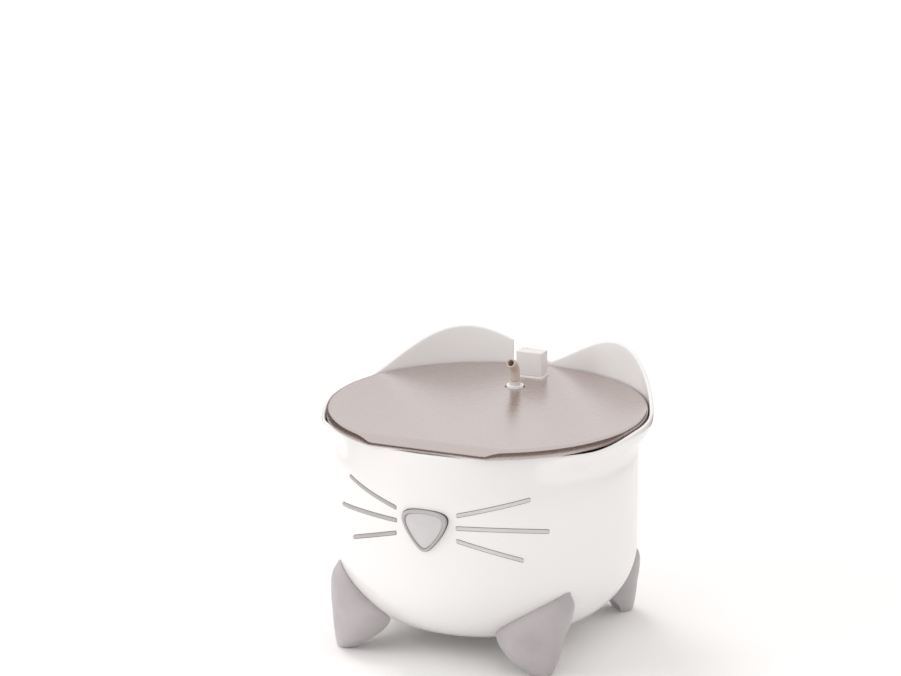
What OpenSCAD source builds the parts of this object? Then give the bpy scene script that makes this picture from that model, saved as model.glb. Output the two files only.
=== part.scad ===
// Pet water fountain with ears. The pot's front faces -Y, its feet stand on z = 0, and the pot's axis
// lies at y = axis_y, so that the origin is under the middle of the whole outline.

/* [Pot] */
// Outer radius of the pot's straight wall
body_r = 101; // [98:0.5:104]
// Height of the pot's underside above the table
base_z = 13; // [11:0.5:15]
// Radius of the flat underside
base_r = 50; // [48:1:54]
// Height where the rounded bottom meets the straight wall
belly_z = 64; // [60:1:68]
// Thickness of the pot's wall
wall_t = 2.6; // [2:0.1:3]
// Thickness of the pot's floor
floor_t = 3; // [2.5:0.1:3.5]

/* [Rim and ears] */
// Height of the drinking lip at the front
front_z = 149; // [148:0.5:149]
// Height of the rim at the sides
side_z = 153; // [151:0.5:156]
// Height of the rim between the ears
rear_z = 152; // [151:0.5:156]
// Rise of an ear above the rim
ear_h = 29; // [20:1:34]
// Angle of an ear's tip, counted from the front
ear_a = 148; // [140:1:152]
// Half an ear's width, in degrees
ear_w = 46; // [36:1:48]
// Clearance between the steel top and the wall that steps out round it
collar_gap = 0.9; // [0.7:0.1:1.5]
// Angle from the front where the step starts
flare_a0 = 38; // [34:1:42]
// Angle from the front where the step ends
flare_a1 = 62; // [58:1:62]
// Height where the wall starts to lean out
flare_z = 130; // [126:1:132]
// Height over which the wall leans out
flare_h = 20; // [17:1:20]

/* [Rear pocket and cord outlet] */
// Width of the pocket in the pot's rear wall
pocket_w = 84; // [70:1:90]
// Distance from the pot's axis to the pocket's wall
pocket_y = 73; // [70:1:78]
// Height of the pocket's roof
pocket_z = 135; // [120:1:136]
// Sideways place of the cord's notch in the rear rim
notch_x = -22; // [-26:1:-18]
// Width of the cord's notch
notch_w = 9; // [8:0.5:11]
// Height of the notch's floor
notch_z = 136.5; // [136:0.5:138]
// Height of the cord's centre in the notch
outlet_z = 141.2; // [140.5:0.1:142]

/* [Feet] */
// Height of a foot pad
foot_h = 53; // [50:1:56]
// Angle of a pad's contact with the table, from the front or the rear
foot_a = 44.5; // [42:0.5:48]
// Radius of a pad's outer side at the table
foot_r = 107; // [100:0.5:110]
// Thickness of a pad at the table
foot_sole = 11; // [9:0.5:13]
// How far a pad stands out of the pot's straight wall
foot_proud = 6; // [5:0.5:8]
// Extra bulge of a pad half way up
foot_bulge = 2.5; // [1:0.5:3]

/* [Face] */
// Height of the nose's centre
nose_z = 98; // [92:1:104]
// Width of the nose
nose_w = 31.5; // [26:0.5:38]
// Height of the nose
nose_h = 28; // [22:1:32]
// How strongly the nose narrows from its top to its tip
nose_point = 2.2; // [1.6:0.1:2.6]
// Width of the nose's raised border
nose_border = 2; // [1.6:0.1:3]
// How far the border stands out of the pot
nose_t = 2.6; // [2:0.1:3]
// Width of a whisker
whisker_w = 2.4; // [1.6:0.1:2.8]
// How far a whisker stands out of the pot
whisker_t = 0.7; // [0.5:0.1:1]

/* [Deck] */
// How far the deck stands out beyond the pot's straight wall
deck_over = 4.5; // [4:0.1:5]
// Height of the deck's rim above the drinking lip
deck_rim_h = 6.2; // [5.8:0.1:6.6]
// Thickness of the deck's plate
deck_t = 2; // [1.6:0.1:2.4]
// How far the deck's straight front lies behind the foremost point of the pot
front_cut = 3; // [3:0.5:5]
// Distance from the pot's axis to the riser's axis
riser_y = 47; // [46:0.5:48]
// Outer radius of the spout socket on the deck
socket_r = 5.8; // [5.2:0.1:6]
// Height of the spout socket above the deck's plate
socket_h = 7.5; // [7:0.5:8]
// Width of the window tower
tower_w = 19.5; // [16:0.5:20]
// Depth of the window tower
tower_d = 11.5; // [10:0.5:12]
// Height of the window tower above the deck's plate
tower_h = 24; // [18:1:28]
// Distance from the axis to the tower's centre
tower_y = 76; // [74:1:78]
// Sideways place of each hanging lug
lug_x = 47; // [42:1:50]
// Width of a hanging lug
lug_w = 25; // [18:1:26]
// Height of a hanging lug
lug_h = 9.6; // [7:0.2:9.8]
// Radius of the hole in a lug
lug_hole_r = 1.5; // [1.2:0.1:2.5]

/* [Steel top] */
// Clearance between the deck's rim and the steel top's skirt
skirt_gap = 0.7; // [0.5:0.1:1]
// Thickness of the steel sheet
steel_t = 0.8; // [0.6:0.1:1]
// Radius of the spout hole
spout_hole_r = 6.75; // [6.5:0.05:7]
// Clearance of the window slot round the tower
slot_gap = 0.8; // [0.6:0.1:1.2]

/* [Spout and riser] */
// Outer radius of the spout's collar
collar_r = 3.75; // [3.5:0.05:4]
// Length of the collar
collar_h = 8.8; // [8:0.2:10]
// Outer radius of the bent spout tube
spout_r = 3.3; // [3:0.1:3.5]
// Inner radius of the bent spout tube
spout_bore_r = 2.1; // [1.8:0.1:2.2]
// Radius of the spout's bend
bend_r = 10; // [8:0.5:12]
// Angle of the spout's bend
bend_a = 60; // [45:5:80]
// Outer radius of the silicone riser tube
tube_r = 7.5; // [7:0.1:8]
// Length of the silicone riser tube
tube_h = 43; // [40:1:46]
// Radius of the two spigots that the tube slides over
spigot_r = 4.6; // [4.4:0.1:4.8]
// Radius of the bore in both spigots
spigot_bore_r = 3; // [2.6:0.1:3.2]
// How far each spigot reaches into the tube
grip_h = 12; // [10:1:14]

/* [Filter and tray] */
// Width of the filter tray
tray_w = 94; // [90:1:96]
// Depth of the filter tray
tray_d = 95.2; // [90:0.2:96]
// Height of the tray's side walls
tray_h = 23.4; // [22:0.2:24]
// Thickness of the tray's walls
tray_t = 1.6; // [1.4:0.1:2]
// Radius of the tray's corners
tray_corner = 16; // [12:1:18]
// Width of the tray's front lip
lip_w = 90; // [80:1:90]
// How far the front lip stands forward
lip_d = 21; // [16:1:21]
// Radius of the front lip's corners
lip_corner = 9; // [6:1:12]
// Clearance between the filter pad and the tray's side and front walls
filter_gap = 1.4; // [1:0.1:3]
// Room behind the filter pad for the riser tube's recess
filter_room = 9.7; // [9:0.1:12]
// Depth of the filter's pockets
pocket_h = 9.4; // [8:0.2:10]
// Radius of the hole in the middle of the filter
filter_hole_r = 8; // [7:0.5:9]

/* [Pump] */
// Length of the pump
pump_l = 47; // [45:1:49]
// Width of the pump
pump_w = 30; // [29:1:32]
// Height of the pump's box
pump_h = 29; // [28:1:31]
// Height of the pump's underside
pump_z = 24; // [23.5:0.5:24.5]
// Turn of the pump about its nozzle
pump_turn = 52; // [45:1:60]
// Height of the pump's nozzle
nozzle_h = 18.7; // [18:0.1:20]
// Radius of the rotor's well
well_r = 7.2; // [7:0.1:7.5]
// Radius of the pumping chamber
chamber_r = 12.5; // [12:0.1:12.8]
// Radius of the rotor's shaft
shaft_r = 1; // [0.8:0.1:1.2]
// Radius of the flow knob
knob_r = 4; // [3.5:0.1:4.5]

/* [Cord] */
// Diameter of the cord
cord_d = 4; // [3.5:0.1:4.5]
// Outer radius of the coiled spare cord
coil_r = 30; // [28:1:32]
// Width and height of the coil's bundle
coil_t = 12; // [11:1:13]

/* [Hidden] */
$fn = 96;

// Clearances that the pieces share
rest_gap = 0.2;
seat_gap = 0.1;
slide_gap = 0.05;

// The deck covers the drinking lip, the steel top's skirt hangs round the deck, and the pot's wall
// steps out round both.
deck_r = body_r + deck_over;
steel_r = deck_r + skirt_gap + steel_t;
flare = steel_r + collar_gap + wall_t - body_r;
collar_out_r = body_r + flare;
deck_front = body_r - front_cut;
steel_front = deck_front + skirt_gap + 0.3;

// The pot's axis sits behind the origin's middle by half of what the rear stands out beyond the nose.
nose_gap = 0.1;
axis_y = -(flare - nose_gap - nose_t) / 2;

deck_z = front_z + rest_gap;
deck_top = deck_z + deck_rim_h;
plate_z = deck_z - 0.8;
plate_top = plate_z + deck_t;
steel_z = deck_top + rest_gap;
steel_top_z = steel_z + steel_t;
socket_floor = plate_top + 1.2;
collar_z = socket_floor + rest_gap;
elbow_z = collar_z + collar_h + seat_gap;
nozzle_top = pump_z + pump_h + nozzle_h;
tube_z = nozzle_top - grip_h;
tube_bore_r = spigot_r + slide_gap;
tail_z = tube_z + tube_h - grip_h;

tray_z = 121.6;
tray_rear = 39.2;
tray_y = tray_rear - tray_d / 2;
lip_z = tray_z + 10;
filter_z = tray_z + 2.6;
tray_front = tray_rear - tray_d;
filter_w = tray_w - 2 * (tray_t + filter_gap);
filter_d = tray_d - filter_room - tray_t - 0.9;
filter_y = tray_rear - filter_room - filter_d / 2;
sheet_z = filter_z + pocket_h;

nozzle_x = 9.9;
nozzle_y = 9.5;
rotor_x = nozzle_x - chamber_r + spigot_bore_r;
rotor_z = pump_h / 2;

cord_r = cord_d / 2;
coil_c = [-48, 154];
plug_at = [-90, 132, 4.1];
plug_body_l = 34;

function smooth(x) = let (t = min(1, max(0, x))) t * t * (3 - 2 * t);
function bump(t) = abs(t) < 1 ? 0.5 + 0.5 * cos(180 * t) : 0;
function at_angle(a, r, z) = [r * sin(a), -r * cos(a), z];

// Rim height at angle a from the front: a low lip in front, a rise at the sides, and two ears.
function rim_z(a) = let (b = abs(a))
    front_z + (side_z - front_z) * smooth((b - flare_a1) / 25)
    + (rear_z - side_z) * smooth((b - ear_a) / (180 - ear_a)) + ear_h * bump((b - ear_a) / ear_w);

// Radius of the rounded bottom at height z, and of the wall above it.
function belly_r(z) = z >= belly_z ? body_r
    : base_r + (body_r - base_r) * sqrt(1 - pow((belly_z - z) / (belly_z - base_z), 2));
function wall_r(a, z) = body_r
    + flare * smooth((abs(a) - flare_a0) / (flare_a1 - flare_a0)) * smooth((z - flare_z) / flare_h);

module about_axis() {
    translate([0, axis_y, 0])
        children();
}

// ---- loft: rings of equal length joined into one closed skin ----
function loft_faces(n, m) = concat(
    [for (j = [0 : m - 2], i = [0 : n - 1])
        let (k = (i + 1) % n) [j * n + i, (j + 1) * n + i, (j + 1) * n + k]],
    [for (j = [0 : m - 2], i = [0 : n - 1])
        let (k = (i + 1) % n) [j * n + i, (j + 1) * n + k, j * n + k]],
    [[for (i = [0 : n - 1]) i]]);

module loft(rings) {
    n = len(rings[0]);
    m = len(rings);
    points = [for (ring = rings, p = ring) p];
    polyhedron(points, concat(loft_faces(n, m), [[for (i = [0 : n - 1]) m * n - 1 - i]]), convexity = 8);
}

// As loft, but the last ring joins the first, so the skin closes on itself without end caps.
module loop(rings) {
    n = len(rings[0]);
    m = len(rings);
    points = [for (ring = rings, p = ring) p];
    polyhedron(points, [for (j = [0 : m - 1], i = [0 : n - 1], half = [0, 1])
        let (k = (i + 1) % n, u = (j + 1) % m)
            half == 0 ? [j * n + i, u * n + i, u * n + k] : [j * n + i, u * n + k, j * n + k]], convexity = 8);
}

// ---- the pot ----
sides = 96;
belly_rings = 7;
wall_rings = 8;

// One skin of the pot, set in from the outside by t, with a floor at height z0 and the top raised by up.
module pot_skin(t, z0, up) {
    angles = [for (i = [0 : sides - 1]) -180 + 360 * i / sides];
    bowl = [for (j = [0 : belly_rings]) let (q = 90 * j / belly_rings)
        [for (a = angles) at_angle(a, base_r + (body_r - t - base_r) * sin(q),
            belly_z - (belly_z - z0) * cos(q))]];
    wall = [for (j = [0 : wall_rings])
        [for (a = angles) let (z = flare_z + (rim_z(a) + up - flare_z) * j / wall_rings)
            at_angle(a, wall_r(a, z) - t, z)]];
    lid = [for (a = angles) at_angle(a, wall_r(a, rim_z(a)) - t - 8, rim_z(a) + up)];
    hub = [for (a = angles) at_angle(a, 8, front_z + up)];
    loft(concat(bowl, wall, [lid, hub]));
}

module round_box(w, d, h, r) {
    hull()
        for (x = [-1, 1], y = [-1, 1])
            translate([x * (w / 2 - r), y * (d / 2 - r), 0])
                cylinder(r = r, h = h, $fn = 32);
}

module rear_block(inset) {
    deep = collar_out_r + 12.5 - pocket_y;
    translate([0, pocket_y + inset + deep / 2, base_z + 1])
        round_box(pocket_w - 2 * inset, deep, pocket_z - base_z - 1 - inset, 5);
}

// A small chamfered ledge inside the wall that the deck rests on.
module deck_ledge(a) {
    outer = collar_out_r - wall_t + 0.5;
    inner = deck_r - 2.1;
    rotate([0, 0, a])
        hull() {
            translate([-6, -outer, deck_z - rest_gap - 2])
                cube([12, outer - inner, 2]);
            translate([-6, -outer, deck_z - rest_gap - 7])
                cube([12, 2, 1]);
        }
}

module pump_pad() {
    at_pump(-pump_z)
        translate([0, 0, base_z + 1])
            round_box(pump_l + 5, pump_w + 4, 4.5, 4);
}

module reservoir() {
    color("white")
        about_axis()
            difference() {
                union() {
                    difference() {
                        pot_skin(0, base_z, 0);
                        pot_skin(wall_t, base_z + floor_t, 6);
                    }
                    intersection() {
                        pot_skin(0.2, base_z + 0.2, -0.2);
                        union() {
                            rear_block(0);
                            translate([0, -axis_y, 0])
                                pump_pad();
                            for (a = [100, 150, -100, -150])
                                deck_ledge(a);
                        }
                    }
                }
                rear_block(wall_t);
                translate([notch_x, body_r - 7, 0])
                    hull() {
                        translate([-notch_w / 2, 0, rear_z + ear_h])
                            cube([notch_w, flare + 12.5, 1]);
                        translate([0, 0, notch_z + notch_w / 2])
                            rotate([-90, 0, 0])
                                cylinder(d = notch_w, h = flare + 12.5, $fn = 32);
                    }
            }
}

// ---- feet: a rounded three-cornered pad hugging the belly ----
foot_slices = 12;
foot_cols = 12;
foot_side_z = 24;
foot_gap = 0.15;

function foot_left(z) = z < foot_side_z ? foot_a - 4 - 13 * sin(90 * z / foot_side_z)
    : foot_a - 17 + 27 * pow((z - foot_side_z) / (foot_h - foot_side_z), 1.5);
function foot_right(z) = foot_a + 4 + 10 * sin(90 * min(1, z / 34)) - 2 * smooth((z - 44) / 9);
function foot_back(z) = z < foot_side_z
    ? foot_r - foot_sole + (belly_r(foot_side_z) + foot_gap - foot_r + foot_sole) * smooth(z / foot_side_z)
    : belly_r(z) + foot_gap;
function foot_front(z) = foot_r + (body_r + foot_proud - foot_r) * smooth(z / foot_h)
    + foot_bulge * sin(180 * min(1, z / 44)) - 4.6 * pow(max(0, z - 42) / 11, 1.4);
function foot_crown(u) = pow(1 - pow(abs(u), 2.6), 0.5);

module foot_pad(side, end) {
    rings = [for (j = [0 : foot_slices]) let (z = foot_h * j / foot_slices, l = foot_left(z),
            w = foot_right(z) - l, back = foot_back(z), deep = foot_front(z) - back)
        concat(
            [for (i = [0 : foot_cols]) let (u = -1 + 2 * i / foot_cols)
                at_angle(l + w * (u + 1) / 2, back + 0.6 + (deep - 0.6) * foot_crown(u), z)],
            [for (i = [0 : foot_cols]) let (u = 1 - 2 * i / foot_cols)
                at_angle(l + w * (u + 1) / 2, back, z)])];
    color([0.6, 0.57, 0.58])
        about_axis()
            mirror([side < 0 ? 1 : 0, 0, 0])
                mirror([0, end < 0 ? 1 : 0, 0])
                    loft(rings);
}

module foot_front_left() {
    foot_pad(-1, 1);
}

module foot_front_right() {
    foot_pad(1, 1);
}

module foot_rear_left() {
    foot_pad(-1, -1);
}

module foot_rear_right() {
    foot_pad(1, -1);
}

// ---- nose and whiskers ----
// The nose is round above and runs with bulging sides to a blunt tip below.
nose_half = nose_h / 2;
nose_pinch = 0.15;
function nose_side(t) = nose_half * sin(t) - nose_point * sin(2 * t);
nose_widest = max([for (t = [90 : 2 : 130]) nose_side(t)]);
function nose_edge(t) = let (y = nose_point - nose_half * cos(t) - nose_point * cos(2 * t))
    [nose_w / 2 * nose_side(t) / nose_widest * (1 - nose_pinch * pow(max(0, -y / nose_half), 2)), y];

module nose_outline(inset) {
    scale(1 - inset / nose_half)
        polygon([for (k = [0 : 59]) nose_edge(6 * k)]);
}

module nose_blank(inset, front) {
    difference() {
        translate([0, 0, nose_z])
            rotate([90, 0, 0])
                linear_extrude(body_r + nose_gap + front)
                    nose_outline(inset);
        cylinder(r = body_r + nose_gap, h = 200, $fn = 192);
        translate([-50, 0, 0])
            cube([100, 1, 200]);
    }
}

module nose_bezel() {
    color([0.45, 0.44, 0.44])
        about_axis()
            difference() {
                nose_blank(0, nose_t);
                translate([0, -50, nose_z])
                    rotate([90, 0, 0])
                        linear_extrude(100)
                            nose_outline(nose_border);
            }
}

module nose_cap() {
    color([0.78, 0.78, 0.78])
        about_axis()
            nose_blank(nose_border + seat_gap, nose_t - 0.8);
}

// One whisker runs along the wall from [angle, height] near the nose to its outer tip, rising by bow.
module whisker(from, to, bow) {
    steps = 8;
    w = whisker_w / 2;
    rings = [for (i = [0 : steps]) let (t = i / steps, a = from[0] + (to[0] - from[0]) * t,
            z = from[1] + (to[1] - from[1]) * t + bow * 4 * t * (1 - t))
        [at_angle(a, body_r + 0.1, z - w), at_angle(a, body_r + 0.1, z + w),
            at_angle(a, body_r + whisker_t, z + 0.7 * w), at_angle(a, body_r + whisker_t, z - 0.7 * w)]];
    loft(rings);
}

module whiskers() {
    color([0.55, 0.54, 0.53])
        about_axis()
            for (side = [0, 1])
                mirror([side, 0, 0]) {
                    whisker([12.2, 110], [39.5, 120.5], 0.3);
                    whisker([12, 101.5], [47, 97.5], 1.2);
                    whisker([12.2, 93], [37, 79.5], 0.3);
                }
}

grommet_y = body_r - 2;
grommet_l = flare + 1.8;

module cord_grommet() {
    color([0.5, 0.5, 0.5])
        about_axis()
            difference() {
                translate([notch_x, grommet_y, 0])
                    union() {
                        translate([0, 0, notch_z + notch_w / 2])
                            rotate([-90, 0, 0])
                                cylinder(d = notch_w - 0.3, h = grommet_l, $fn = 64);
                        translate([-(notch_w - 0.3) / 2, 0, notch_z + notch_w / 2])
                            cube([notch_w - 0.3, grommet_l, deck_z - 0.3 - notch_z - notch_w / 2]);
                    }
                translate([notch_x, grommet_y - 9, outlet_z])
                    rotate([-90, 0, 0])
                        cylinder(r = cord_r + slide_gap, h = grommet_l + 20);
            }
}

// ---- deck ----
module deck_profile() {
    lip_in = body_r - wall_t;
    polygon([[0, plate_z], [lip_in - 0.8, plate_z], [lip_in - 0.5, deck_z], [deck_r - 3.9, deck_z],
        [deck_r - 2.9, deck_z + 3.4], [deck_r - 1.8, deck_z + 3.4], [deck_r - 1.8, deck_z],
        [deck_r, deck_z], [deck_r, deck_top - 1.4], [deck_r - 1.4, deck_top], [deck_r - 4.5, deck_top],
        [deck_r - 12.5, plate_top], [0, plate_top]]);
}

// The straight front slopes under the steel top's lip.
module deck_front_slope() {
    rotate([90, 0, 90])
        translate([0, 0, -deck_r])
            linear_extrude(2 * deck_r)
                polygon([[-deck_front + 9, deck_top], [-deck_front + 4, deck_top - 0.7],
                    [-deck_front, deck_z + 2.2], [-deck_front - 1, deck_z + 2.2],
                    [-deck_front - 1, deck_top + 5], [-deck_front + 9, deck_top + 5]]);
}

// A lug hangs under the plate: a half-round plate facing the front, with one hole.
module lug(x) {
    translate([x, 32 - deck_front, plate_z])
        rotate([90, 0, 0])
            linear_extrude(2)
                difference() {
                    intersection() {
                        scale([1, 2 * lug_h / lug_w])
                            circle(d = lug_w);
                        translate([-lug_w / 2, -lug_h])
                            square([lug_w, lug_h + 0.5]);
                    }
                    translate([0, -lug_h / 2])
                        circle(r = lug_hole_r, $fn = 32);
                }
}

module deck() {
    color("snow")
        about_axis() {
            difference() {
                union() {
                    difference() {
                        rotate_extrude($fn = 192)
                            deck_profile();
                        translate([-deck_r, -deck_r - 10, 0])
                            cube([2 * deck_r, deck_r + 10 - deck_front, 200]);
                        deck_front_slope();
                    }
                    translate([-34, -deck_front, deck_z])
                        cube([68, 1.8, 2.2]);
                    translate([0, riser_y, tail_z])
                        cylinder(r = spigot_r, h = plate_top - tail_z);
                    translate([0, riser_y, plate_z])
                        cylinder(r = socket_r, h = plate_top + socket_h - plate_z);
                    tower_foot();
                }
                translate([0, riser_y, tail_z - 1])
                    cylinder(r = spigot_bore_r, h = 100);
                translate([0, riser_y, socket_floor])
                    cylinder(r = collar_r + slide_gap, h = 20);
            }
            for (x = [-lug_x, lug_x])
                lug(x);
        }
}

module tower_foot() {
    hull() {
        translate([0, tower_y, plate_top - 0.5])
            linear_extrude(0.5)
                square([tower_w + 2.4, tower_d + 1], center = true);
        translate([0, tower_y, steel_z - 2])
            linear_extrude(2)
                square([tower_w, tower_d], center = true);
    }
    translate([0, tower_y, steel_z - 1])
        linear_extrude(steel_t + 2.5)
            square([tower_w, tower_d], center = true);
}

module tower_window() {
    low = steel_z + steel_t + 1.6;
    color([0.72, 0.72, 0.73])
        about_axis()
            difference() {
                translate([0, tower_y, low])
                    linear_extrude(plate_top + tower_h - low)
                        square([tower_w - 0.8, tower_d - 0.8], center = true);
                translate([0, tower_y, low - 1])
                    linear_extrude(plate_top + tower_h - low - 0.4)
                        square([tower_w - 3.4, tower_d - 3.4], center = true);
            }
}

// ---- steel top ----
module steel_profile() {
    r = steel_r;
    t = steel_t;
    polygon([[0, steel_z], [r - 3, steel_z], [r - t - 0.5, steel_z - 0.6], [r - t, steel_z - 1.6],
        [r - t, deck_z + 0.5], [r, deck_z + 0.5], [r, steel_z - 1.2], [r - 0.8, steel_z + 0.2],
        [r - 2.6, steel_top_z], [0, steel_top_z]]);
}

// The front lip: the sheet runs down to a straight edge.
module steel_lip() {
    low = deck_z + 0.5;
    intersection() {
        rotate([90, 0, 90])
            translate([0, 0, -60])
                linear_extrude(120)
                    polygon([[-steel_front + 9, steel_z], [-steel_front + 5, steel_z - 0.5],
                        [-steel_front + steel_t, low + 2], [-steel_front + steel_t, low], [-steel_front, low],
                        [-steel_front, low + 2.4], [-steel_front + 4.6, steel_top_z - 0.5],
                        [-steel_front + 9, steel_top_z]]);
        cylinder(r = steel_r - 0.05, h = 200, $fn = 192);
    }
}

module steel_top() {
    color([0.8, 0.77, 0.75])
        about_axis()
            difference() {
                union() {
                    difference() {
                        rotate_extrude($fn = 192)
                            steel_profile();
                        translate([-60, -steel_front - 11, steel_z - 0.3])
                            cube([120, 20, 5]);
                        translate([-60, -steel_r - 13, 0])
                            cube([120, steel_r + 13 - steel_front, 200]);
                    }
                    steel_lip();
                }
                translate([0, riser_y, 100])
                    cylinder(r = spout_hole_r, h = 100);
                translate([0, tower_y, 100])
                    linear_extrude(100)
                        square([tower_w + 2 * slot_gap, tower_d + 2 * slot_gap], center = true);
            }
}

// ---- spout ----
module spout_collar() {
    color([0.7, 0.66, 0.64])
        about_axis()
            translate([0, riser_y, collar_z])
                difference() {
                    cylinder(r = collar_r, h = collar_h);
                    translate([0, 0, -1])
                        cylinder(r = spout_bore_r, h = 20);
                    translate([0, 0, collar_h - 4])
                        cylinder(r = spout_r - 0.5 + slide_gap, h = 10);
                }
}

// The bent tube is one skin: up the outside in rings, over the mouth, and down the inside.
// Its path is a plug in the collar, a short upright, a bend towards the front and a short open end.
bend_steps = 8;
function bend_at(q) = [0, -bend_r + bend_r * cos(q), 4 + bend_r * sin(q)];
function spout_ring(c, q, r) = [for (k = [0 : 23]) let (a = 15 * k)
    c + r * [cos(a), sin(a) * cos(q), sin(a) * sin(q)]];
function spout_skin(r) = concat([spout_ring([0, 0, 0], 0, r)],
    [for (k = [0 : bend_steps]) let (q = bend_a * k / bend_steps) spout_ring(bend_at(q), q, r)],
    [spout_ring(bend_at(bend_a) + 3 * [0, -sin(bend_a), cos(bend_a)], bend_a, r)]);

module spout_elbow() {
    outside = concat([spout_ring([0, 0, -3.8], 0, spout_r - 0.5), spout_ring([0, 0, 0], 0, spout_r - 0.5)],
        spout_skin(spout_r));
    inside = concat([spout_ring([0, 0, -3.8], 0, spout_bore_r)], spout_skin(spout_bore_r));
    rings = concat(outside, [for (j = [len(inside) - 1 : -1 : 0]) inside[j]]);
    color([0.72, 0.66, 0.62])
        about_axis()
            translate([0, riser_y, elbow_z])
                loop(rings);
}

module riser_tube() {
    color([0.85, 0.85, 0.86, 0.6])
        about_axis()
            translate([0, riser_y, tube_z])
                difference() {
                    cylinder(r = tube_r, h = tube_h);
                    translate([0, 0, -1])
                        cylinder(r = tube_bore_r, h = tube_h + 2);
                }
}

// ---- tray and filter ----
module tray_plan(inset) {
    translate([0, tray_y])
        hull()
            for (x = [-1, 1], y = [-1, 1])
                translate([x * (tray_w / 2 - tray_corner), y * (tray_d / 2 - tray_corner)])
                    circle(r = tray_corner - inset, $fn = 48);
}

module lip_plan(inset) {
    hull() {
        for (x = [-1, 1])
            translate([x * (lip_w / 2 - lip_corner), tray_front - lip_d + lip_corner])
                circle(r = lip_corner - inset, $fn = 32);
        translate([-lip_w / 2 + inset, tray_front])
            square([lip_w - 2 * inset, 12]);
    }
}

hug_y = tray_rear + 3.8;
hug_r = 12;
lip_h = 6.6;

lip_top = lip_z + lip_h;

// The top edge of a side wall, as a point [y, z] at share t of its sweep from the lip to full height.
function wall_top(t) = [tray_front + 5 + 55 * t, lip_top + (tray_z + tray_h - lip_top) * smooth(t)];

module filter_tray() {
    color([0.86, 0.86, 0.87, 0.8])
        about_axis()
            difference() {
                union() {
                    translate([0, 0, tray_z])
                        linear_extrude(tray_h + 3)
                            tray_plan(0);
                    translate([0, 0, lip_z])
                        linear_extrude(lip_h)
                            lip_plan(0);
                }
                difference() {
                    translate([0, 0, tray_z + 2])
                        linear_extrude(50)
                            tray_plan(tray_t);
                    translate([0, hug_y, tray_z])
                        cylinder(r = hug_r, h = 60);
                }
                translate([0, hug_y, tray_z - 1])
                    cylinder(r = hug_r - tray_t, h = 60);
                translate([0, 0, lip_z + tray_t])
                    linear_extrude(50)
                        lip_plan(tray_t);
                // The side walls stop short of the rear tab, which stands a little taller.
                translate([-tray_w / 2 - 13, tray_front - 34, tray_z + tray_h])
                    cube([tray_w + 26, tray_d + 34 - 12.2, 20]);
                for (x = [0, 1])
                    mirror([x, 0, 0])
                        translate([hug_r, tray_rear - 19.2, tray_z + tray_h])
                            cube([tray_w / 2, 25, 20]);
                for (x = [-1, 1])
                    translate([x * 16.5 - 4.5, 30, tray_z + 13.5])
                        cube([9, 15, 30]);
                // The side walls sweep down to the lip in front.
                rotate([90, 0, 90])
                    translate([0, 0, -60])
                        linear_extrude(120)
                            polygon(concat([[tray_front - 34, 170], [tray_front - 34, lip_top]],
                                [for (k = [0 : 14]) wall_top(k / 14)], [[tray_front + 60, 170]]));
            }
}

module filter_plan(inset) {
    translate([0, filter_y])
        hull()
            for (x = [-1, 1], y = [-1, 1])
                translate([x * (filter_w / 2 - 14), y * (filter_d / 2 - 14)])
                    circle(r = 14 - inset, $fn = 48);
}

module filter_sheet() {
    color([0.88, 0.84, 0.8])
        about_axis()
            translate([0, 0, sheet_z])
                linear_extrude(0.8)
                    difference() {
                        filter_plan(0);
                        translate([0, filter_y])
                            circle(r = filter_hole_r);
                    }
}

// One pocket of the filter, wider at the top, set in by t, from its floor at height z up to the sheet.
module filter_lobe(x, y, t, z) {
    w = filter_w / 2 - 7 - 2 * t;
    d = filter_d / 2 - 7 - 2 * t;
    translate([x * (filter_w / 4 - 1.5), filter_y + y * (filter_d / 4 - 1.45), 0])
        hull() {
            translate([0, 0, sheet_z - 4.4])
                linear_extrude(4.4)
                    offset(r = 7, $fn = 32)
                        square([w - 14, d - 14], center = true);
            translate([0, 0, z])
                linear_extrude(1)
                    offset(r = 6, $fn = 32)
                        square([w - 19, d - 19], center = true);
        }
}

module filter_pockets(x) {
    about_axis()
        for (y = [-1, 1])
            difference() {
                filter_lobe(x, y, 0, filter_z);
                difference() {
                    filter_lobe(x, y, 0.8, filter_z + 0.8);
                    translate([-filter_w, filter_y - filter_d, sheet_z])
                        cube([2 * filter_w, 2 * filter_d, 5]);
                }
            }
}

module filter_granules(x) {
    about_axis()
        for (y = [-1, 1])
            intersection() {
                filter_lobe(x, y, 1, filter_z + 1);
                translate([-filter_w, filter_y - filter_d, filter_z])
                    cube([2 * filter_w, 2 * filter_d, pocket_h - 0.4]);
            }
}

module carbon_pockets() {
    color([0.62, 0.59, 0.57])
        filter_pockets(-1);
}

module resin_pockets() {
    color([0.92, 0.78, 0.68])
        filter_pockets(1);
}

module carbon_granules() {
    color([0.2, 0.2, 0.2])
        filter_granules(-1);
}

module resin_granules() {
    color([0.85, 0.6, 0.42])
        filter_granules(1);
}

// ---- pump: x along its length, y towards the pumping chamber, z up from its underside ----
module at_pump(z) {
    translate([0, axis_y + riser_y, pump_z + z])
        rotate([0, 0, pump_turn])
            translate([-nozzle_x, -nozzle_y, 0])
                children();
}

module along_rotor(y) {
    translate([rotor_x, y, rotor_z])
        rotate([-90, 0, 0])
            children();
}

cover_y = pump_w / 2 + seat_gap;
impeller_y = cover_y - 6.1;
magnet_y = impeller_y - 13.5;
well_y = magnet_y - 2.5;
potting_x = -20.5;
potting_w = rotor_x - well_r - 1.2 - potting_x;

module potting_space(gap) {
    translate([potting_x + gap, -12 + gap, -1])
        cube([potting_w - 2 * gap, 16 - 2 * gap, pump_h - 2 - gap]);
}

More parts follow.
